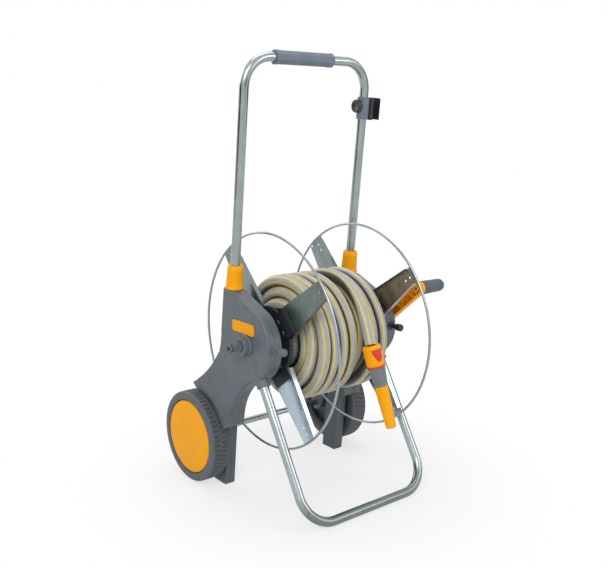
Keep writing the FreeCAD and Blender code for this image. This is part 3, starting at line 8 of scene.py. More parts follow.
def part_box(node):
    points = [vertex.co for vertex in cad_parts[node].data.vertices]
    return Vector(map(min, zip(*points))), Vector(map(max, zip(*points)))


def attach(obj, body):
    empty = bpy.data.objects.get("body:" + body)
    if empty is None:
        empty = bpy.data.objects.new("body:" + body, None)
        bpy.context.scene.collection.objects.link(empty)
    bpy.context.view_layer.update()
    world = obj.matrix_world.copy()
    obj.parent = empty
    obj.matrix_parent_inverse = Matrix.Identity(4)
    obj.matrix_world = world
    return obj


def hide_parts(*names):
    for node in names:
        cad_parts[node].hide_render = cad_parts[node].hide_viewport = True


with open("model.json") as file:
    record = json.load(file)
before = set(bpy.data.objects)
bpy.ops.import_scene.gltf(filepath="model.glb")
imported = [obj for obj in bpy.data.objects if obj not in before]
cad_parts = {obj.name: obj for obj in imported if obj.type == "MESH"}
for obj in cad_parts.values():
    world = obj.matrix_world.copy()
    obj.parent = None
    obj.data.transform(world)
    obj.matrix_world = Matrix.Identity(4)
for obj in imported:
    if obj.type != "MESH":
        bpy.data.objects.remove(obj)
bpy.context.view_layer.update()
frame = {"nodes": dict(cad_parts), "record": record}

NODES = frame["nodes"]
SIDES = {"left": -1, "right": 1}
MM = 0.001


def mm(*sizes):
    return Vector([size * MM for size in sizes])


def middle(node):
    low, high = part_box(node)
    return (low + high) / 2


# The drum's centre, from its two side rings.
DRUM = (middle("ring_left") + middle("ring_right")) / 2

# ---------------------------------------------------------------- camera ----
EYE_FROM_DRUM = mm(-1070.09, -1280.84, 448.42)
YAW, PITCH, ROLL = math.radians(39.1667), math.radians(11.6802), math.radians(0.6621)
LENS_MM, SENSOR_MM = 48.342, 36


def aim():
    ahead = Vector((math.sin(YAW) * math.cos(PITCH), math.cos(YAW) * math.cos(PITCH), -math.sin(PITCH)))
    right = Vector((math.cos(YAW), -math.sin(YAW), 0))
    up = Vector((math.sin(YAW) * math.sin(PITCH), math.cos(YAW) * math.sin(PITCH), math.cos(PITCH)))
    across = right * math.cos(ROLL) + up * math.sin(ROLL)
    upright = up * math.cos(ROLL) - right * math.sin(ROLL)
    turn = Matrix((across, upright, -ahead)).transposed().to_4x4()
    return Matrix.Translation(DRUM + EYE_FROM_DRUM) @ turn


def set_camera():
    lens = bpy.data.cameras.new("view")
    lens.lens = LENS_MM
    lens.sensor_width = SENSOR_MM
    lens.clip_end = 20
    camera = bpy.data.objects.new("view", lens)
    bpy.context.collection.objects.link(camera)
    camera.matrix_world = aim()
    bpy.context.scene.camera = camera


set_camera()

# ------------------------------------------------------------ node helpers ----


def add_node(tree, kind, **settings):
    item = tree.nodes.new(kind)
    for name, value in settings.items():
        if name in item.inputs:
            item.inputs[name].default_value = value
        else:
            setattr(item, name, value)
    return item


def join(tree, start, end):
    tree.links.new(start, end)


def maths(tree, operation, first, second=None):
    item = add_node(tree, "ShaderNodeMath", operation=operation)
    for place, value in enumerate((first, second)):
        if value is None:
            continue
        if isinstance(value, (int, float)):
            item.inputs[place].default_value = value
        else:
            join(tree, value, item.inputs[place])
    return item.outputs[0]


def product(tree, *values):
    total = values[0]
    for value in values[1:]:
        total = maths(tree, "MULTIPLY", total, value)
    return total


def span(tree, value, low, high, to_low=0.0, to_high=1.0, smooth=False):
    item = add_node(tree, "ShaderNodeMapRange")
    item.interpolation_type = "SMOOTHSTEP" if smooth else "LINEAR"
    join(tree, value, item.inputs["Value"])
    for name, number in (("From Min", low), ("From Max", high), ("To Min", to_low), ("To Max", to_high)):
        if isinstance(number, (int, float)):
            item.inputs[name].default_value = number
        else:
            join(tree, number, item.inputs[name])
    return item.outputs["Result"]


def blend_colours(tree, mask, first, second):
    """Mix two colours; sockets 0, 6 and 7 of the node are its mask and its colours."""
    item = add_node(tree, "ShaderNodeMix", data_type="RGBA")
    join(tree, mask, item.inputs[0])
    for place, value in ((6, first), (7, second)):
        if isinstance(value, (tuple, list)):
            item.inputs[place].default_value = (*value, 1)
        else:
            join(tree, value, item.inputs[place])
    return item.outputs[2]


def noise(tree, coordinates, scale, detail=3, roughness=0.55):
    item = add_node(tree, "ShaderNodeTexNoise", Detail=detail, Roughness=roughness)
    if isinstance(scale, (int, float)):
        item.inputs["Scale"].default_value = scale
    else:
        join(tree, scale, item.inputs["Scale"])
    join(tree, coordinates, item.inputs["Vector"])
    return item.outputs["Fac"]


def stretched(tree, coordinates, scale):
    item = add_node(tree, "ShaderNodeVectorMath", operation="MULTIPLY")
    join(tree, coordinates, item.inputs[0])
    item.inputs[1].default_value = scale
    return item.outputs[0]


def object_place(tree):
    return add_node(tree, "ShaderNodeTexCoord").outputs["Object"]


def split(tree, vector):
    item = add_node(tree, "ShaderNodeSeparateXYZ")
    join(tree, vector, item.inputs[0])
    return item.outputs["X"], item.outputs["Y"], item.outputs["Z"]


def distance_from(tree, value, centre):
    return maths(tree, "ABSOLUTE", maths(tree, "SUBTRACT", value, centre))


def round_axis(tree, centre):
    """Offsets in Y and Z from an axis along X, and the distance from it."""
    _, deep, high = split(tree, object_place(tree))
    back = maths(tree, "SUBTRACT", deep, centre.y)
    up = maths(tree, "SUBTRACT", high, centre.z)
    squares = maths(tree, "ADD", product(tree, back, back), product(tree, up, up))
    return back, up, maths(tree, "SQRT", squares)


def new_group(name, inputs, outputs):
    """A shader node group with named sockets; returns it with its two ends."""
    tree = bpy.data.node_groups.new(name, "ShaderNodeTree")
    for label, kind, value in inputs:
        socket = tree.interface.new_socket(label, in_out="INPUT", socket_type=kind)
        socket.default_value = value
    for label, kind in outputs:
        tree.interface.new_socket(label, in_out="OUTPUT", socket_type=kind)
    return tree, add_node(tree, "NodeGroupInput").outputs, add_node(tree, "NodeGroupOutput").inputs


def use_group(tree, group, **values):
    item = add_node(tree, "ShaderNodeGroup")
    item.node_tree = group
    for name, value in values.items():
        item.inputs[name.replace("_", " ")].default_value = value
    return item.outputs


FLOAT = "NodeSocketFloat"
FLOW_STRETCH, FLOW_SCALE = (9, 9, 3), 6.0
SCUFF_STRETCH = (260, 90, 40)
STREAK_STRETCH = (420, 420, 9)
SPANGLE_SCALE = 260.0


def make_moulded_skin():
    """Moulded plastic: fine grain from the tool, soft mottling, and faint rub marks."""
    tree, given, result = new_group(
        "moulded_skin",
        [("Grain", FLOAT, 1500.0), ("Mottle", FLOAT, 24.0),
         ("Gloss low", FLOAT, 0.4), ("Gloss high", FLOAT, 0.6)],
        [("Tone", FLOAT), ("Roughness", FLOAT), ("Relief", FLOAT), ("Rub", FLOAT)])
    place = object_place(tree)
    mottle = noise(tree, place, given["Mottle"], detail=4, roughness=0.6)
    grain = noise(tree, place, given["Grain"], detail=2, roughness=0.5)
    flow = noise(tree, stretched(tree, place, FLOW_STRETCH), FLOW_SCALE, detail=2)
    scuffs = noise(tree, stretched(tree, place, SCUFF_STRETCH), 1.0, detail=4, roughness=0.7)
    join(tree, span(tree, maths(tree, "ADD", mottle, flow), 0.7, 1.3), result["Tone"])
    unevenness = maths(tree, "ADD", maths(tree, "MULTIPLY", grain, 0.4), mottle)
    join(tree, span(tree, unevenness, 0.45, 0.95, given["Gloss low"], given["Gloss high"]),
         result["Roughness"])
    join(tree, grain, result["Relief"])
    join(tree, span(tree, scuffs, 0.66, 0.74), result["Rub"])
    return tree


def make_plated_skin():
    """Zinc plate on rolled steel: long streaks, patchy brightness, fine scratches."""
    tree, given, result = new_group(
        "plated_skin",
        [("Streak", FLOAT, 1.0), ("Patch", FLOAT, 30.0),
         ("Gloss low", FLOAT, 0.18), ("Gloss high", FLOAT, 0.34)],
        [("Tone", FLOAT), ("Roughness", FLOAT), ("Relief", FLOAT)])
    place = object_place(tree)
    streak = noise(tree, stretched(tree, place, STREAK_STRETCH), given["Streak"], detail=3, roughness=0.6)
    patch = noise(tree, place, given["Patch"], detail=4, roughness=0.6)
    spangle = noise(tree, place, SPANGLE_SCALE, detail=2)

    def mixed(first, first_share, second, second_share):
        return maths(tree, "ADD", maths(tree, "MULTIPLY", first, first_share),
                     maths(tree, "MULTIPLY", second, second_share))

    join(tree, span(tree, mixed(streak, 0.8, patch, 1.0), 0.6, 1.15), result["Tone"])
    unevenness = mixed(streak, 0.5, patch, 0.5)
    join(tree, span(tree, unevenness, 0.35, 0.65, given["Gloss low"], given["Gloss high"]),
         result["Roughness"])
    join(tree, mixed(streak, 0.7, spangle, 0.3), result["Relief"])
    return tree


SKIN = make_moulded_skin()
PLATE = make_plated_skin()
SKIN_RELIEF, PLATE_RELIEF = 0.35, 0.25
PLATE_DEPTH = 0.00006


def new_material(name):
    material = bpy.data.materials.new(name)
    material.use_nodes = True
    tree = material.node_tree
    return material, tree, tree.nodes["Principled BSDF"]


def dress(tree, shader, colour, roughness, height, strength, depth):
    """Wire a finish's colour, roughness and relief to its shader."""
    join(tree, colour, shader.inputs["Base Color"])
    join(tree, roughness, shader.inputs["Roughness"])
    bump = add_node(tree, "ShaderNodeBump", Strength=strength, Distance=depth)
    join(tree, height, bump.inputs["Height"])
    join(tree, bump.outputs["Normal"], shader.inputs["Normal"])


def darker(colour, share):
    return tuple(part * share for part in colour)


def lighter(colour, share):
    return tuple(part + (1 - part) * share for part in colour)


def rubbed(tree, skin, rub, base, pale):
    return blend_colours(tree, maths(tree, "MULTIPLY", skin["Rub"], rub), base, pale)


def moulded(name, colour, gloss=(0.42, 0.58), grain=1500.0, depth=0.00012, vary=0.14, rub=0.10, shine=0.5):
    """A moulded plastic with its grain, mottling and faint scuffs."""
    material, tree, shader = new_material(name)
    skin = use_group(tree, SKIN, Grain=grain, Gloss_low=gloss[0], Gloss_high=gloss[1])
    dark, light = darker(colour, 1 - vary), lighter(darker(colour, 1 + vary / 2), 0.01)
    worn = rubbed(tree, skin, rub, blend_colours(tree, skin["Tone"], dark, light), lighter(colour, 0.45))
    shader.inputs["Specular IOR Level"].default_value = shine
    dress(tree, shader, worn, skin["Roughness"], skin["Relief"], SKIN_RELIEF, depth)
    return material


def plated(name, colour, gloss=(0.16, 0.30), streak=1.0, vary=0.24):
    """Zinc-plated steel with its streaks and patches."""
    material, tree, shader = new_material(name)
    skin = use_group(tree, PLATE, Streak=streak, Gloss_low=gloss[0], Gloss_high=gloss[1])
    base = blend_colours(tree, skin["Tone"], darker(colour, 1 - vary), colour)
    shader.inputs["Metallic"].default_value = 1.0
    dress(tree, shader, base, skin["Roughness"], skin["Relief"], PLATE_RELIEF, PLATE_DEPTH)
    return material


# --------------------------------------------------------------- finishes ----
SLATE = (0.117, 0.134, 0.151)
TREAD_SLATE = (0.105, 0.115, 0.127)
YELLOW = (0.98, 0.405, 0.004)
ZINC = (0.37, 0.415, 0.425)
BRIGHT_ZINC = (0.55, 0.67, 0.75)
# Darker copies of the sheet zinc for the upper spokes: painted shade and painted reflections.
GREEN_SHADE_ZINC = (0.20, 0.245, 0.22)
SHADE_YELLOW_REFLECTION_ZINC = (0.47, 0.43, 0.395)
SOFT_SHADE_ZINC = (0.285, 0.33, 0.335)
HOSE_GREY = (0.385, 0.405, 0.415)
HOSE_YELLOW = (0.88, 0.60, 0.035)

FINISHES = {
    "housing_plastic": moulded("slate_moulding", SLATE, gloss=(0.40, 0.54), grain=1300.0, depth=0.00014),
    "yellow_plastic": moulded("yellow_moulding", YELLOW, gloss=(0.36, 0.50), grain=900.0, depth=0.00006,
                              vary=0.035, rub=0.03, shine=0.1),
    "tube_steel": plated("plated_tube", ZINC),
    "sheet_steel": plated("plated_sheet", BRIGHT_ZINC, gloss=(0.16, 0.32), streak=0.6, vary=0.3),
    "wire_steel": plated("plated_wire", (0.40, 0.43, 0.44), gloss=(0.24, 0.38)),
    "fastener_steel": plated("plated_fasteners", (0.60, 0.62, 0.64), gloss=(0.22, 0.38)),
    "grip_plastic": moulded("slate_grip", (0.135, 0.17, 0.215), gloss=(0.46, 0.60), grain=1100.0,
                            depth=0.00018),
    "black_plastic": moulded("black_moulding", (0.016, 0.017, 0.020), gloss=(0.30, 0.48), grain=1400.0,
                             depth=0.00010, vary=0.2),
    "tyre_plastic": moulded("tread_moulding", TREAD_SLATE, gloss=(0.50, 0.68), grain=900.0, depth=0.00020,
                            vary=0.2, rub=0.22),
    "wheel_plastic": moulded("wheel_moulding", (0.045, 0.046, 0.052), gloss=(0.42, 0.6)),
    "hose_pvc": moulded("hose_skin", HOSE_GREY, gloss=(0.34, 0.48), grain=800.0, depth=0.00008),
    "sleeve_plastic": moulded("sleeve_moulding", (0.20, 0.215, 0.235), gloss=(0.44, 0.58)),
    "red_plastic": moulded("red_moulding", (0.72, 0.030, 0.016), gloss=(0.34, 0.46), grain=900.0,
                           depth=0.00006, vary=0.08),
    "seal_rubber": moulded("seal_rubber", (0.02, 0.02, 0.021), gloss=(0.45, 0.6)),
}

# The upper spokes take darker, tinted copies of the sheet zinc. They are painted shade, with a painted
# reflection of the dark ground on the green-grey one and a painted reflection of the yellow crank arm on the
# warm one.
GREEN_SHADE_SHEET = plated("plated_sheet_green_shade", GREEN_SHADE_ZINC, gloss=(0.22, 0.36), streak=0.6, vary=0.45)
SHADE_YELLOW_REFLECTION_SHEET = plated("plated_sheet_yellow_reflection", SHADE_YELLOW_REFLECTION_ZINC, gloss=(0.24, 0.38), streak=0.6, vary=0.35)
SOFT_SHADE_SHEET = plated("plated_sheet_soft_shade", SOFT_SHADE_ZINC, gloss=(0.20, 0.34), streak=0.6, vary=0.35)
DARK_FASTENER = plated("plated_fasteners_dark", (0.09, 0.095, 0.10), gloss=(0.34, 0.5))
# The struts: slate darkened partly for their own darker tone and partly as painted shade.
STRUT_TONE_AND_SHADE = moulded("slate_strut_tone_and_shade", darker(SLATE, 0.74), gloss=(0.42, 0.56), grain=1300.0, depth=0.00014)
DARK_GRIP = moulded("dark_slate_grip", (0.072, 0.092, 0.110), gloss=(0.44, 0.58), grain=1100.0,
                    depth=0.00018)

SEAM_HALF, SEAM_WIDTH, SEAM_DEPTH = 157 * MM, 0.3 * MM, 3.0
# Heights where the stand's painted shade near the ground gives way to bright zinc, and the roughness added
# low down.
DARKENED_BELOW, BRIGHT_FROM, SCUFF_ROUGHNESS = 22 * MM, 75 * MM, 0.06
TREAD_DEPTH, GROOVE_FLOOR = 0.9 * MM, 97.1 * MM
TREAD_FROM, TREAD_TO = 179 * MM, 211 * MM
SHOULDER = (95 * MM, 96.2 * MM)
# Where the painted shade ring round the cap fades out.
CAP_RING, RING_FADE = 79.4 * MM, 4 * MM


def shell_moulding():
    """The housings' plastic, with the fine dark line where their two shells meet."""
    material, tree, shader = new_material("slate_shell")
    skin = use_group(tree, SKIN, Grain=1300.0, Gloss_low=0.40, Gloss_high=0.54)
    along, _, _ = split(tree, object_place(tree))
    off_seam = distance_from(tree, distance_from(tree, along, DRUM.x), SEAM_HALF)
    seam = span(tree, off_seam, SEAM_WIDTH, SEAM_WIDTH * 2.5, 1.0, 0.0, smooth=True)
    base = blend_colours(tree, skin["Tone"], darker(SLATE, 0.84), darker(SLATE, 1.08))
    worn = rubbed(tree, skin, 0.12, base, lighter(SLATE, 0.4))
    height = maths(tree, "SUBTRACT", skin["Relief"], maths(tree, "MULTIPLY", seam, SEAM_DEPTH))
    dress(tree, shader, blend_colours(tree, seam, worn, darker(SLATE, 0.3)), skin["Roughness"], height,
          SKIN_RELIEF, 0.00014)
    return material


def stand_plating():
    """The stand's plated tube, rougher low down, where it rests on the ground, and painted darker there as
    shade and a dark reflection of the ground.
    """
    material, tree, shader = new_material("plated_stand")
    skin = use_group(tree, PLATE, Streak=1.0, Gloss_low=0.16, Gloss_high=0.30)
    _, _, height = split(tree, object_place(tree))
    shade_low_down = span(tree, height, DARKENED_BELOW, BRIGHT_FROM, 1.0, 0.0, smooth=True)
    bright = blend_colours(tree, skin["Tone"], darker(ZINC, 0.86), darker(ZINC, 1.14))
    # Painted shade and painted dark reflection: the zinc darkened near the ground.
    dull = blend_colours(tree, skin["Tone"], darker(ZINC, 0.42), darker(ZINC, 0.62))
    rough = maths(tree, "ADD", skin["Roughness"], maths(tree, "MULTIPLY", shade_low_down, SCUFF_ROUGHNESS))
    shader.inputs["Metallic"].default_value = 1.0
    dress(tree, shader, blend_colours(tree, shade_low_down, bright, dull), rough, skin["Relief"], PLATE_RELIEF,
          PLATE_DEPTH)
    return material


def tread_moulding():
    """The tyres' plastic, with painted shade darkening the tread, most deeply in its grooves, and a painted
    shade ring round the cap.
    """
    material, tree, shader = new_material("tread_moulding_groove_shade")
    skin = use_group(tree, SKIN, Grain=900.0, Gloss_low=0.50, Gloss_high=0.68)
    _, _, reach = round_axis(tree, middle("axle"))
    along, _, _ = split(tree, object_place(tree))
    outwards = distance_from(tree, along, DRUM.x)
    # Painted shade in the tread grooves, deepest at their floor and lighter on the tread tops.
    low = span(tree, reach, GROOVE_FLOOR + TREAD_DEPTH * 0.15, GROOVE_FLOOR + TREAD_DEPTH * 0.8, 0.60, 0.24)
    tread = product(tree, span(tree, outwards, TREAD_FROM - MM, TREAD_FROM),
                    span(tree, outwards, TREAD_TO, TREAD_TO + MM, 1.0, 0.0),
                    span(tree, reach, *SHOULDER), low)
    # A painted shade ring round the cap.
    ring = span(tree, reach, CAP_RING, CAP_RING + RING_FADE, 0.7, 0.0, smooth=True)
    groove_shade = maths(tree, "MAXIMUM", tread, ring)
    base = blend_colours(tree, skin["Tone"], darker(TREAD_SLATE, 0.8), darker(TREAD_SLATE, 1.12))
    worn = rubbed(tree, skin, 0.22, base, lighter(TREAD_SLATE, 0.45))
    dress(tree, shader, blend_colours(tree, groove_shade, worn, darker(TREAD_SLATE, 0.28)), skin["Roughness"],
          skin["Relief"], SKIN_RELIEF, 0.0002)
    return material


SHELL = shell_moulding()
TREAD = tread_moulding()

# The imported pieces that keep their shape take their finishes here.
OWN_FINISHES = {
    # The upper spokes wear the painted-shade copies of the sheet zinc.
    "spoke_left_1": GREEN_SHADE_SHEET, "spoke_left_2": SOFT_SHADE_SHEET,
    "spoke_right_1": SHADE_YELLOW_REFLECTION_SHEET, "spoke_right_2": SOFT_SHADE_SHEET,
    "spoke_rivets": DARK_FASTENER,
    "inlet_nipple": FINISHES["housing_plastic"],
    "peg_right": FINISHES["black_plastic"],
    "stand_tube": stand_plating(),
    "strut_left": STRUT_TONE_AND_SHADE, "strut_right": STRUT_TONE_AND_SHADE,
    "housing_left_inner": SHELL, "housing_left_outer": SHELL,
    "housing_right_inner": SHELL, "housing_right_outer": SHELL,
}

for part in frame["record"]["subparts"]:
    finish = OWN_FINISHES.get(part["node"]) or FINISHES[part["material_slot"]]
    NODES[part["node"]].material_slots[0].material = finish


# ---------------------------------------------------------- making pieces ----
def let_go():
    if bpy.context.object and bpy.context.object.mode != "OBJECT":
        bpy.ops.object.mode_set(mode="OBJECT")
    bpy.ops.object.select_all(action="DESELECT")


def hold(piece):
    let_go()
    piece.select_set(True)
    bpy.context.view_layer.objects.active = piece


def choose(piece, test):
    """In edit mode, select just the faces whose centre and normal pass the test."""
    bpy.ops.mesh.select_mode(type="FACE")
    bpy.ops.mesh.select_all(action="DESELECT")
    mesh = bmesh.from_edit_mesh(piece.data)
    for face in mesh.faces:
        face.select_set(test(face.calc_center_median(), face.normal))
    bmesh.update_edit_mesh(piece.data)


def turned(name, profile, sides=64, closed=False):
    """A turned shape about Z: a ring of points raised along (radius, height) steps."""
    let_go()
    radius, height = profile[0]
    bpy.ops.mesh.primitive_circle_add(vertices=sides, radius=radius, location=(0, 0, height))
    piece = bpy.context.object
    piece.name = name
    bpy.ops.object.transform_apply(location=True, rotation=True, scale=True)
    bpy.ops.object.mode_set(mode="EDIT")
    bpy.ops.mesh.select_mode(type="VERT")
    bpy.ops.mesh.select_all(action="SELECT")
    for (near, low), (far, high) in zip(profile, profile[1:]):
        bpy.ops.mesh.extrude_region_move(TRANSFORM_OT_translate={"value": (0, 0, high - low)})
        share = far / near
        bpy.ops.transform.resize(value=(share, share, 1), center_override=(0, 0, high))
    bpy.ops.mesh.select_all(action="SELECT")
    bpy.ops.mesh.remove_doubles(threshold=1e-6)
    if not closed:
        bpy.ops.mesh.fill_holes(sides=0)
    bpy.ops.mesh.select_all(action="SELECT")
    bpy.ops.mesh.normals_make_consistent(inside=False)
    bpy.ops.object.mode_set(mode="OBJECT")
    return piece


def ease_edges(piece, width, segments=2, angle=35):
    hold(piece)
    bevel = piece.modifiers.new("eased_edges", "BEVEL")
    bevel.width = width
    bevel.segments = segments
    bevel.limit_method = "ANGLE"
    bevel.angle_limit = math.radians(angle)
    bpy.ops.object.modifier_apply(modifier=bevel.name)


def place_piece(piece, place):
    hold(piece)
    piece.matrix_world = place
    bpy.ops.object.transform_apply(location=True, rotation=True, scale=True)


def finish_piece(piece, body, slot, nodes, smooth=35, material=None):
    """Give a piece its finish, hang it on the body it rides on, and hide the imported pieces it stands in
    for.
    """
    hold(piece)
    bpy.ops.object.shade_smooth_by_angle(angle=math.radians(smooth))
    piece.data.materials.clear()
    piece.data.materials.append(material or FINISHES[slot])
    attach(piece, body)
    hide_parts(*nodes)
    let_go()


# ----------------------------------------------------- where pieces stand ----
AXLE = middle("axle")
LEG_LEAN = math.radians(5.25)
LEG_HALF, LEG_FOOT = 156 * MM, 104.6 * MM
HOSE_END = (22.0, 0.9, 153.1)
NOZZLE_WAY = Vector((22.0, -38.0, -153.5)).normalized()
CLIP_SCREW_UP = 803 * MM


def stand_at(place, way):
    return Matrix.Translation(place) @ way.to_track_quat("Z", "Y").to_matrix().to_4x4()


def round_drum(along, degrees, reach):
    angle = math.radians(degrees)
    return DRUM + Vector((along, -reach * math.cos(angle), reach * math.sin(angle)))


def on_axle(side):
    return stand_at(AXLE, Vector((side, 0, 0)))


def on_drum(side):
    return stand_at(DRUM, Vector((side, 0, 0)))


def on_leg(side):
    foot = Vector((DRUM.x + side * LEG_HALF, DRUM.y + LEG_FOOT, 0))
    return stand_at(foot, Vector((0, -math.sin(LEG_LEAN), math.cos(LEG_LEAN))))


def on_nozzle():
    along, degrees, reach = HOSE_END
    return stand_at(round_drum(along * MM, degrees, reach * MM), NOZZLE_WAY)


def in_mm(*steps):
    return [(radius * MM, height * MM) for radius, height in steps]


UPRIGHT = 0.6


def flute(piece, low, high, sides, every, depth, first=0):
    """Press every nth upright strip of faces between two heights in by a depth."""
    hold(piece)
    bpy.ops.object.mode_set(mode="EDIT")

    def in_strip(centre, normal):
        strip = round((math.atan2(centre.y, centre.x) / (2 * math.pi)) * sides - 0.5)
        return low < centre.z < high and abs(normal.z) < UPRIGHT and (strip + first) % every == 0

    choose(piece, in_strip)
    bpy.ops.mesh.extrude_region_shrink_fatten(TRANSFORM_OT_shrink_fatten={"value": -depth})
    bpy.ops.object.mode_set(mode="OBJECT")


# ----------------------------------------------------------------- wheels ----
TYRE_SIDES = 120
TYRE = in_mm((74.1, 176), (74.6, 174.6), (80, 174), (92, 174), (95.6, 174.8), (97.4, 176.6), (98, 179.4),
             (98, 194), (98, 196), (98, 210.6), (97.3, 213.4), (95.4, 215.3), (92, 216), (84, 216),
             (80.6, 215.6), (79.4, 214.4), (79.25, 211.2), (74.1, 211))
TREAD_ROWS = in_mm((179.4, 194), (196, 210.6))
CAP_SIDES = 96
CAP = in_mm((0.4, 211.2), (78.2, 211.2), (78.3, 213.8), (77.8, 215), (76.6, 215.8), (75, 215.9),
            (73.8, 216.5), (66, 217.2), (48, 217.8), (26, 218.2), (0.4, 218.3))


def make_wheel(label, side):
    tyre = turned(f"tyre_{label}_moulding", TYRE, TYRE_SIDES, closed=True)
    for first, (low, high) in enumerate(TREAD_ROWS):
        flute(tyre, low, high, TYRE_SIDES, every=2, depth=TREAD_DEPTH, first=first)
    ease_edges(tyre, 0.35 * MM, segments=1, angle=40)
    place_piece(tyre, on_axle(side))
    finish_piece(tyre, f"{label}_wheel", "tyre_plastic", [f"tyre_{label}"], material=TREAD)
    cap = turned(f"cap_{label}_moulding", CAP, CAP_SIDES)
    place_piece(cap, on_axle(side))
    finish_piece(cap, f"{label}_wheel", "yellow_plastic", [f"cap_{label}"], smooth=40)


# ------------------------------------------------- collars, grips and knob ----
COLLAR_SIDES = 60
COLLAR = in_mm((13.1, 435.5), (17.6, 435.5), (18.4, 436.2), (18.4, 441), (17.7, 442), (17.5, 444),
               (16, 471), (16.3, 473), (16.3, 478), (15.8, 479.5), (15.4, 482.5), (14.6, 484.1),
               (13.4, 484.5), (9.6, 484.5), (9.6, 457.6), (13.1, 457.6))
GRIP = in_mm((9.6, -72.5), (14.2, -72.5), (15, -71.6), (15, -66), (14.2, -64.8), (14.2, 64.8), (15, 66),
             (15, 71.6), (14.2, 72.5), (9.6, 72.5))
GRIP_SIDES = 8
KNOB_SIDES = 40
KNOB = in_mm((0.4, 9.65), (3.95, 9.65), (3.95, 13.3), (11.8, 13.3), (13.8, 15.2), (14, 15.8), (14, 20.6),
             (13.4, 21.8), (12, 22.7), (9, 22.8), (8, 22.2), (0.4, 22.2))
CRANK_GRIP_SIDES = 48
CRANK_GRIP = in_mm((0.4, 242.1), (6.6, 242.1), (6.6, 238.9), (4.05, 238.9), (4.05, 193.5), (14.2, 193.5),
                   (14.8, 194.2), (14.8, 198.3), (14, 199.2), (14, 200.6), (14.5, 201.6), (13.9, 228),
                   (13.6, 248), (12.8, 252), (11.2, 254.9), (8.4, 257), (4.6, 257.9), (0.4, 258))


def make_collar(label, side):
    collar = turned(f"collar_{label}_moulding", COLLAR, COLLAR_SIDES, closed=True)
    flute(collar, 444 * MM, 471 * MM, COLLAR_SIDES, every=3, depth=0.5 * MM)
    ease_edges(collar, 0.25 * MM, segments=1)
    place_piece(collar, on_leg(side))
    finish_piece(collar, f"{label}_collar", "yellow_plastic", [f"collar_{label}"])


def make_handle_grip():
    grip = turned("handle_grip_moulding", GRIP, GRIP_SIDES, closed=True)
    ease_edges(grip, 1.3 * MM, segments=3, angle=20)
    half_side = Matrix.Rotation(math.pi / GRIP_SIDES, 4, "Z")
    place_piece(grip, stand_at(middle("handle_grip"), Vector((1, 0, 0))) @ half_side)
    finish_piece(grip, "handle", "grip_plastic", ["handle_grip"], smooth=30)


def make_clip_screw():
    knob = turned("clip_screw_moulding", KNOB, KNOB_SIDES)
    flute(knob, 15.8 * MM, 20.6 * MM, KNOB_SIDES, every=4, depth=1.3 * MM)
    ease_edges(knob, 0.3 * MM)
    up_leg = on_leg(SIDES["right"]) @ Vector((0, 0, CLIP_SCREW_UP))
    place_piece(knob, stand_at(up_leg, Vector((-1, 0, 0))))
    finish_piece(knob, "clip_knob", "black_plastic", ["clip_screw"])


def make_crank_grip():
    grip = turned("crank_grip_moulding", CRANK_GRIP, CRANK_GRIP_SIDES)
    axis = middle("crank_grip")
    place_piece(grip, stand_at(Vector((DRUM.x, axis.y, axis.z)), Vector((1, 0, 0))))
    finish_piece(grip, "crank_handle", "grip_plastic", ["crank_grip"], material=DARK_GRIP)


# ---------------------------------------------------- water inlet, nozzle ----
INLET_SIDES = 64
INLET = in_mm((6.55, 173.05), (21.4, 173.05), (22, 173.7), (22, 175.4), (21.2, 176.2), (19.4, 177.4),
              (19.4, 186.4), (18.6, 188), (17.2, 188.9), (12.4, 188.9), (11.6, 188.2), (6.55, 188.2))
CONNECTOR_SIDES = 64
CONNECTOR = in_mm((0.4, 0.1), (13, 0.1), (16.2, 0.6), (17.6, 2.2), (18.3, 4.4), (18.8, 7), (18.8, 9),
                  (18.8, 13), (18.8, 17), (18.8, 21), (18.8, 25), (18.8, 29), (18.8, 33), (18.8, 38.5),
                  (18.3, 39.4), (18.3, 41.4), (0.4, 41.4))
PATCH_WAY = Vector((-0.15, -0.98, 0))
PATCH_LOW, PATCH_HIGH = 7 * MM, 33 * MM
PATCH_WIDE, PATCH_NARROW = math.radians(46), math.radians(14)
PATCH_BORDER, PATCH_RISE = 0.4 * MM, 0.2 * MM
SLEEVE_SIDES = 72
SLEEVE = in_mm((0.4, 45.1), (16.6, 45.1), (17.3, 46), (17.3, 48.4), (16.8, 49.2), (14.3, 80.6), (14.6, 81.6),
               (14.4, 83.4), (13.8, 84), (11, 84), (11, 96), (0.4, 96))
BARREL_SIDES = 64
BARREL = in_mm((11.05, 84.5), (13, 84.5), (13.6, 85.2), (13.6, 89.2), (13, 90), (13, 91.4), (13.5, 92.3),
               (13.2, 108), (12.3, 130), (11.2, 156), (10.9, 166), (10.5, 167), (10.5, 171.3), (9.9, 172),
               (7.4, 172), (7, 171.4), (5, 158), (5, 97.1), (11.05, 97.1))


def make_inlet():
    boss = turned("inlet_boss_moulding", INLET, INLET_SIDES, closed=True)
    flute(boss, 177.4 * MM, 186.4 * MM, INLET_SIDES, every=4, depth=1.1 * MM)
    ease_edges(boss, 0.35 * MM)
    place_piece(boss, on_drum(SIDES["left"]))
    finish_piece(boss, "chassis", "housing_plastic", ["inlet_boss"])


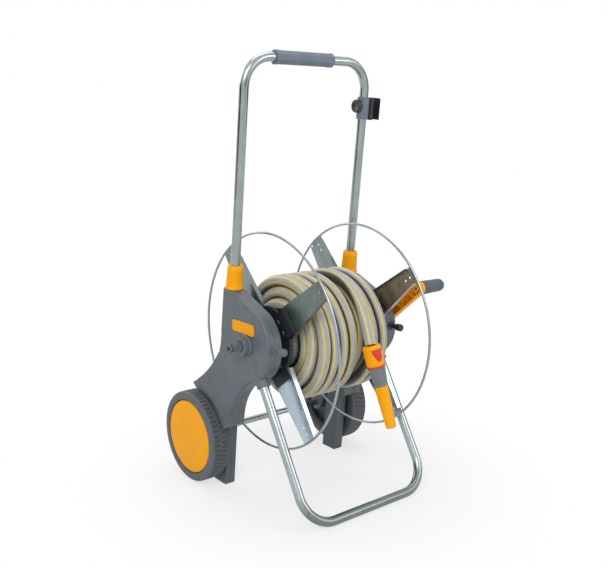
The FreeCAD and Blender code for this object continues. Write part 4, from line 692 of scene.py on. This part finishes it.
def make_connector():
    """The hose connector: smooth barrel, with a raised soft patch in red on its front."""
    body = turned("connector_moulding", CONNECTOR, CONNECTOR_SIDES)
    place = on_nozzle()
    front = place.to_3x3().inverted() @ PATCH_WAY
    body.data.materials.append(FINISHES["yellow_plastic"])
    body.data.materials.append(FINISHES["red_plastic"])

    def on_patch(centre, normal):
        if not PATCH_LOW < centre.z < PATCH_HIGH:
            return False
        share = (centre.z - PATCH_LOW) / (PATCH_HIGH - PATCH_LOW)
        half_width = PATCH_WIDE + (PATCH_NARROW - PATCH_WIDE) * share
        return Vector((centre.x, centre.y)).angle(Vector((front.x, front.y))) < half_width

    hold(body)
    bpy.ops.object.mode_set(mode="EDIT")
    choose(body, on_patch)
    bpy.ops.mesh.inset(thickness=PATCH_BORDER, depth=PATCH_RISE)
    body.active_material_index = 1
    bpy.ops.object.material_slot_assign()
    bpy.ops.object.mode_set(mode="OBJECT")
    place_piece(body, place)
    hold(body)
    bpy.ops.object.shade_smooth_by_angle(angle=math.radians(35))
    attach(body, "drum")
    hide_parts("connector_body")
    let_go()
    return body


def make_sleeve():
    sleeve = turned("nozzle_sleeve_moulding", SLEEVE, SLEEVE_SIDES)
    flute(sleeve, 49.2 * MM, 80.6 * MM, SLEEVE_SIDES, every=3, depth=0.7 * MM)
    ease_edges(sleeve, 0.25 * MM, segments=1)
    place_piece(sleeve, on_nozzle())
    finish_piece(sleeve, "drum", "sleeve_plastic", ["nozzle_sleeve"])
    return sleeve


def make_barrel():
    barrel = turned("nozzle_barrel_moulding", BARREL, BARREL_SIDES, closed=True)
    place_piece(barrel, on_nozzle())
    finish_piece(barrel, "nozzle_twist", "yellow_plastic", ["nozzle_barrel"])
    return barrel


for label, side in SIDES.items():
    make_wheel(label, side)
    make_collar(label, side)
make_handle_grip()
make_clip_screw()
make_crank_grip()
make_inlet()
CONNECTOR_PIECE = make_connector()
SLEEVE_PIECE = make_sleeve()
BARREL_PIECE = make_barrel()


# ------------------------------------------------------------------- hose ----
HOSE_RADIUS = 12 * MM
WOUND_RADIUS = 132 * MM
TURN_POINTS = 16
FILLING_OUT = 1.008

# The free end of the hose: place along the drum, degrees above the front
# horizontal, height over the outer layer.
TAIL = (
    (0.0900, 262.0, -0.0090),
    (0.0840, 236.0, -0.0020),
    (0.0730, 209.0, 0.0080),
    (0.0600, 181.0, 0.0120),
    (0.0500, 153.0, 0.0070),
    (0.0450, 125.0, -0.0050),
    (0.0435, 98.0, -0.0095),
    (0.0415, 71.0, -0.0090),
    (0.0360, 47.0, -0.0034),
    (0.0290, 24.0, 0.0074),
    (0.0220, 0.9, 0.0211),
)

# The winding: turns made so far, place along the drum, radius of the turn.
WINDING = (
    (0.0, -0.0930, 0.0725),
    (8.0, 0.0960, 0.0725),
    (8.5, 0.0960, 0.0960),
    (16.0, -0.0880, 0.0960),
    (16.4, -0.0740, 0.1200),
    (16.9, -0.0690, 0.1200),
    (17.9, -0.0440, 0.1203),
    (18.9, -0.0190, 0.1200),
    (19.9, 0.0050, 0.1203),
    (20.2, 0.0120, 0.1200),
    (20.5, 0.0480, 0.1200),
    (20.8, 0.0600, 0.1200),
    (21.8, 0.0840, 0.1200),
    (22.0, 0.0900, 0.1200),
)
START_DEGREES = 270
# How the turns stray along the drum: by how much, how often, and where each starts.
WANDER = ((0.0012, 5.3, 0), (0.0009, 12.1, 1))


def winding_at(turns):
    for before, after in zip(WINDING, WINDING[1:]):
        if turns <= after[0]:
            share = (turns - before[0]) / (after[0] - before[0])
            return [before[i] + (after[i] - before[i]) * share for i in (1, 2)]
    return WINDING[-1][1:]


def hose_route():
    points = []
    for step in range(int(WINDING[-1][0] * TURN_POINTS) + 1):
        turns = step / TURN_POINTS
        along, reach = winding_at(turns)
        wander = sum(sway * math.sin(turns * rate + start) for sway, rate, start in WANDER)
        points.append(round_drum(along + wander, START_DEGREES - 360 * turns, reach * FILLING_OUT))
    for along, degrees, lift in TAIL:
        points.append(round_drum(along, degrees, WOUND_RADIUS + lift))
    return points


def route_length(curve):
    """Length of the smooth line of a curve that has no section yet."""
    line = bpy.data.meshes.new_from_object(curve)
    places = [vertex.co.copy() for vertex in line.vertices]
    bpy.data.meshes.remove(line)
    return sum((b - a).length for a, b in zip(places, places[1:]))


def make_hose():
    curve = bpy.data.curves.new("hose", "CURVE")
    curve.dimensions = "3D"
    curve.twist_mode = "MINIMUM"
    spline = curve.splines.new("NURBS")
    points = hose_route()
    spline.points.add(len(points) - 1)
    for slot, point in zip(spline.points, points):
        slot.co = (*point, 1)
    spline.order_u = 3
    spline.use_endpoint_u = True
    spline.resolution_u = 4
    hose = bpy.data.objects.new("hose", curve)
    bpy.context.collection.objects.link(hose)
    length = route_length(hose)
    print("hose length", round(length, 3))
    curve.bevel_depth = HOSE_RADIUS
    curve.bevel_resolution = 8
    curve.use_fill_caps = True
    return hose, length


STRIPES, STRIPE_HALF, STRIPE_EDGE = 6, 0.10, 0.135
DRIFT_RATE, DRIFT = 1.7, 0.035
KNIT_RATE, KNIT_WAYS, KNIT_HEIGHT = 900.0, 12, 0.35
LAYER_FROM, LAYER_TO, LAYER_FADE = -68 * MM, 85 * MM, 2 * MM
CROWN_LOW, CROWN_HIGH = 128 * MM, 133 * MM
# How dark the painted shade in the hose's gaps gets.
GAP_SHADE_STRENGTH = 0.93


def painted_gap_shade(tree):
    """Painted shade deep in the gaps: between the turns side by side, and under each layer."""
    across, up, reach = round_axis(tree, DRUM)
    place, _, _ = split(tree, object_place(tree))
    along = maths(tree, "SUBTRACT", place, DRUM.x)
    facing_x, facing_y, facing_z = split(tree, add_node(tree, "ShaderNodeTexCoord").outputs["Normal"])
    sideways = span(tree, maths(tree, "ABSOLUTE", facing_x), 0.58, 0.90, smooth=True)
    turns = product(tree, sideways,
                    span(tree, along, LAYER_FROM - LAYER_FADE, LAYER_FROM + LAYER_FADE),
                    span(tree, along, LAYER_TO - LAYER_FADE, LAYER_TO + LAYER_FADE, 1.0, 0.0),
                    span(tree, reach, CROWN_LOW, CROWN_HIGH, 1.0, 0.0))
    outward = maths(tree, "DIVIDE", maths(tree, "ADD", product(tree, across, facing_y),
                                          product(tree, up, facing_z)), reach)
    underside = span(tree, outward, -0.80, -0.35, 1.0, 0.0, smooth=True)
    return maths(tree, "MAXIMUM", turns, underside)


def make_hose_finish(length):
    """Grey hose with yellow stripes along it, over a fine knitted reinforcement."""
    material, tree, shader = new_material("striped_hose")
    skin = use_group(tree, SKIN, Grain=800.0, Mottle=40.0, Gloss_low=0.34, Gloss_high=0.5)
    share, turned_by, _ = split(tree, add_node(tree, "ShaderNodeTexCoord").outputs["UV"])
    along = maths(tree, "MULTIPLY", share, length)
    drift = maths(tree, "MULTIPLY", maths(tree, "SINE", maths(tree, "MULTIPLY", along, DRIFT_RATE)), DRIFT)
    around = maths(tree, "ADD", turned_by, drift)
    saw = maths(tree, "FRACT", maths(tree, "MULTIPLY", around, STRIPES))
    stripe = span(tree, distance_from(tree, saw, 0.5), STRIPE_HALF, STRIPE_EDGE, 1.0, 0.0, smooth=True)
    grey = blend_colours(tree, skin["Tone"], darker(HOSE_GREY, 0.86), lighter(HOSE_GREY, 0.05))
    yellow = blend_colours(tree, skin["Tone"], darker(HOSE_YELLOW, 0.88), HOSE_YELLOW)
    clean = blend_colours(tree, stripe, grey, yellow)
    # Painted shade in the gaps between the turns and under each layer.
    shade_in_gaps = maths(tree, "MULTIPLY", painted_gap_shade(tree), GAP_SHADE_STRENGTH)
    lengthwise = maths(tree, "MULTIPLY", along, KNIT_RATE)
    sidewise = maths(tree, "MULTIPLY", around, 2 * math.pi * KNIT_WAYS)
    threads = [maths(tree, "SINE", maths(tree, way, lengthwise, sidewise)) for way in ("ADD", "SUBTRACT")]
    knit = maths(tree, "MULTIPLY", maths(tree, "MAXIMUM", *threads), KNIT_HEIGHT)
    dress(tree, shader, blend_colours(tree, shade_in_gaps, clean, darker(HOSE_GREY, 0.05)), skin["Roughness"],
          maths(tree, "ADD", knit, skin["Relief"]), strength=0.3, depth=0.0001)
    return material


HOSE, HOSE_LENGTH = make_hose()
HOSE.data.materials.append(make_hose_finish(HOSE_LENGTH))
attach(HOSE, "drum")
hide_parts("hose_coil", "hose_tail")


# ------------------------------------------------------ stage and lighting ----
# The floor keeps the cart's shadow close by and turns white further out.
SHADOW_NEAR, SHADOW_FAR, SHADOW_WHITE = 0.24, 0.56, 0.68
FLOOR_SIZE, FLOOR_GREY = 12, (0.86, 0.86, 0.86, 1)
WHITE = (1, 1, 1, 1)
SKY, SKY_STRENGTH = (0.95, 0.97, 1.0, 1), 0.55
CARD_BLACK, CARD_ROUGHNESS = (0.02, 0.02, 0.022, 1), 0.9
AIM_AT = Vector((0, 0, 0.42))


def seen_directly(tree):
    """1 for rays that come from the camera, a reflection or a clear piece, and 0 for the rest."""
    ray = add_node(tree, "ShaderNodeLightPath").outputs
    share = maths(tree, "MAXIMUM", ray["Is Camera Ray"], ray["Is Glossy Ray"])
    return maths(tree, "MAXIMUM", share, ray["Is Transmission Ray"])


def mix_shaders(tree, output, share, lit, white):
    mix = add_node(tree, "ShaderNodeMixShader")
    for place, end in enumerate((share, lit.outputs[0], white.outputs[0])):
        join(tree, end, mix.inputs[place])
    join(tree, mix.outputs[0], output.inputs["Surface"])


def make_floor():
    let_go()
    bpy.ops.mesh.primitive_plane_add(size=FLOOR_SIZE, location=(0, 0, 0))
    floor = bpy.context.object
    floor.name = "floor"
    material = bpy.data.materials.new("pale_floor")
    material.use_nodes = True
    tree = material.node_tree
    tree.nodes.clear()
    output = add_node(tree, "ShaderNodeOutputMaterial")
    paint = add_node(tree, "ShaderNodeBsdfDiffuse", Color=FLOOR_GREY)
    white = add_node(tree, "ShaderNodeEmission", Color=WHITE, Strength=1.0)
    reach = add_node(tree, "ShaderNodeVectorMath", operation="LENGTH")
    join(tree, object_place(tree), reach.inputs[0])
    white_share = span(tree, reach.outputs["Value"], SHADOW_NEAR, SHADOW_FAR, SHADOW_WHITE, 1.0, smooth=True)
    mix_shaders(tree, output, product(tree, seen_directly(tree), white_share), paint, white)
    floor.data.materials.append(material)


def make_world():
    world = bpy.data.worlds.new("studio")
    bpy.context.scene.world = world
    world.use_nodes = True
    tree = world.node_tree
    tree.nodes.clear()
    output = add_node(tree, "ShaderNodeOutputWorld")
    soft = add_node(tree, "ShaderNodeBackground", Color=SKY, Strength=SKY_STRENGTH)
    white = add_node(tree, "ShaderNodeBackground", Color=WHITE, Strength=1.0)
    mix_shaders(tree, output, seen_directly(tree), soft, white)


def add_flag(name, place, size):
    """A dark card that only reflections see, so that bright metal has something dark to show."""
    let_go()
    bpy.ops.mesh.primitive_plane_add(size=1, location=place)
    card = bpy.context.object
    card.name = name
    card.scale = (*size, 1)
    level = Vector((0, 0, place[2]))
    card.rotation_euler = (level - Vector(place)).to_track_quat("Z", "Y").to_euler()
    material, _, shader = new_material(name)
    shader.inputs["Base Color"].default_value = CARD_BLACK
    shader.inputs["Roughness"].default_value = CARD_ROUGHNESS
    card.data.materials.append(material)
    card.visible_camera = False


def add_softbox(name, place, size, power):
    light = bpy.data.lights.new(name, "AREA")
    light.shape = "RECTANGLE"
    light.size, light.size_y = size
    light.energy = power
    lamp = bpy.data.objects.new(name, light)
    bpy.context.collection.objects.link(lamp)
    lamp.location = place
    lamp.rotation_euler = (AIM_AT - Vector(place)).to_track_quat("-Z", "Y").to_euler()


# Name, place, and size; a lamp also has its power in watts.
FLAGS = (
    ("left_flag", (-1.7, 0.9, 0.75), (1.5, 0.7)),
    ("right_flag", (1.9, -0.9, 0.75), (1.5, 0.5)),
    ("front_flag", (-0.1, -2.6, 0.75), (1.5, 0.35)),
)
SOFTBOXES = (
    ("key_softbox", (-1.9, -1.5, 2.1), (1.4, 1.4), 34),
    ("fill_softbox", (1.5, -2.3, 1.5), (1.6, 1.2), 15),
    ("top_softbox", (0.3, 0.5, 2.7), (1.6, 1.6), 16),
    ("rim_softbox", (-0.6, 2.4, 1.6), (1.6, 1.0), 12),
)

make_floor()
make_world()
for flag in FLAGS:
    add_flag(*flag)
for softbox in SOFTBOXES:
    add_softbox(*softbox)

bpy.context.scene.view_settings.view_transform = "Standard"
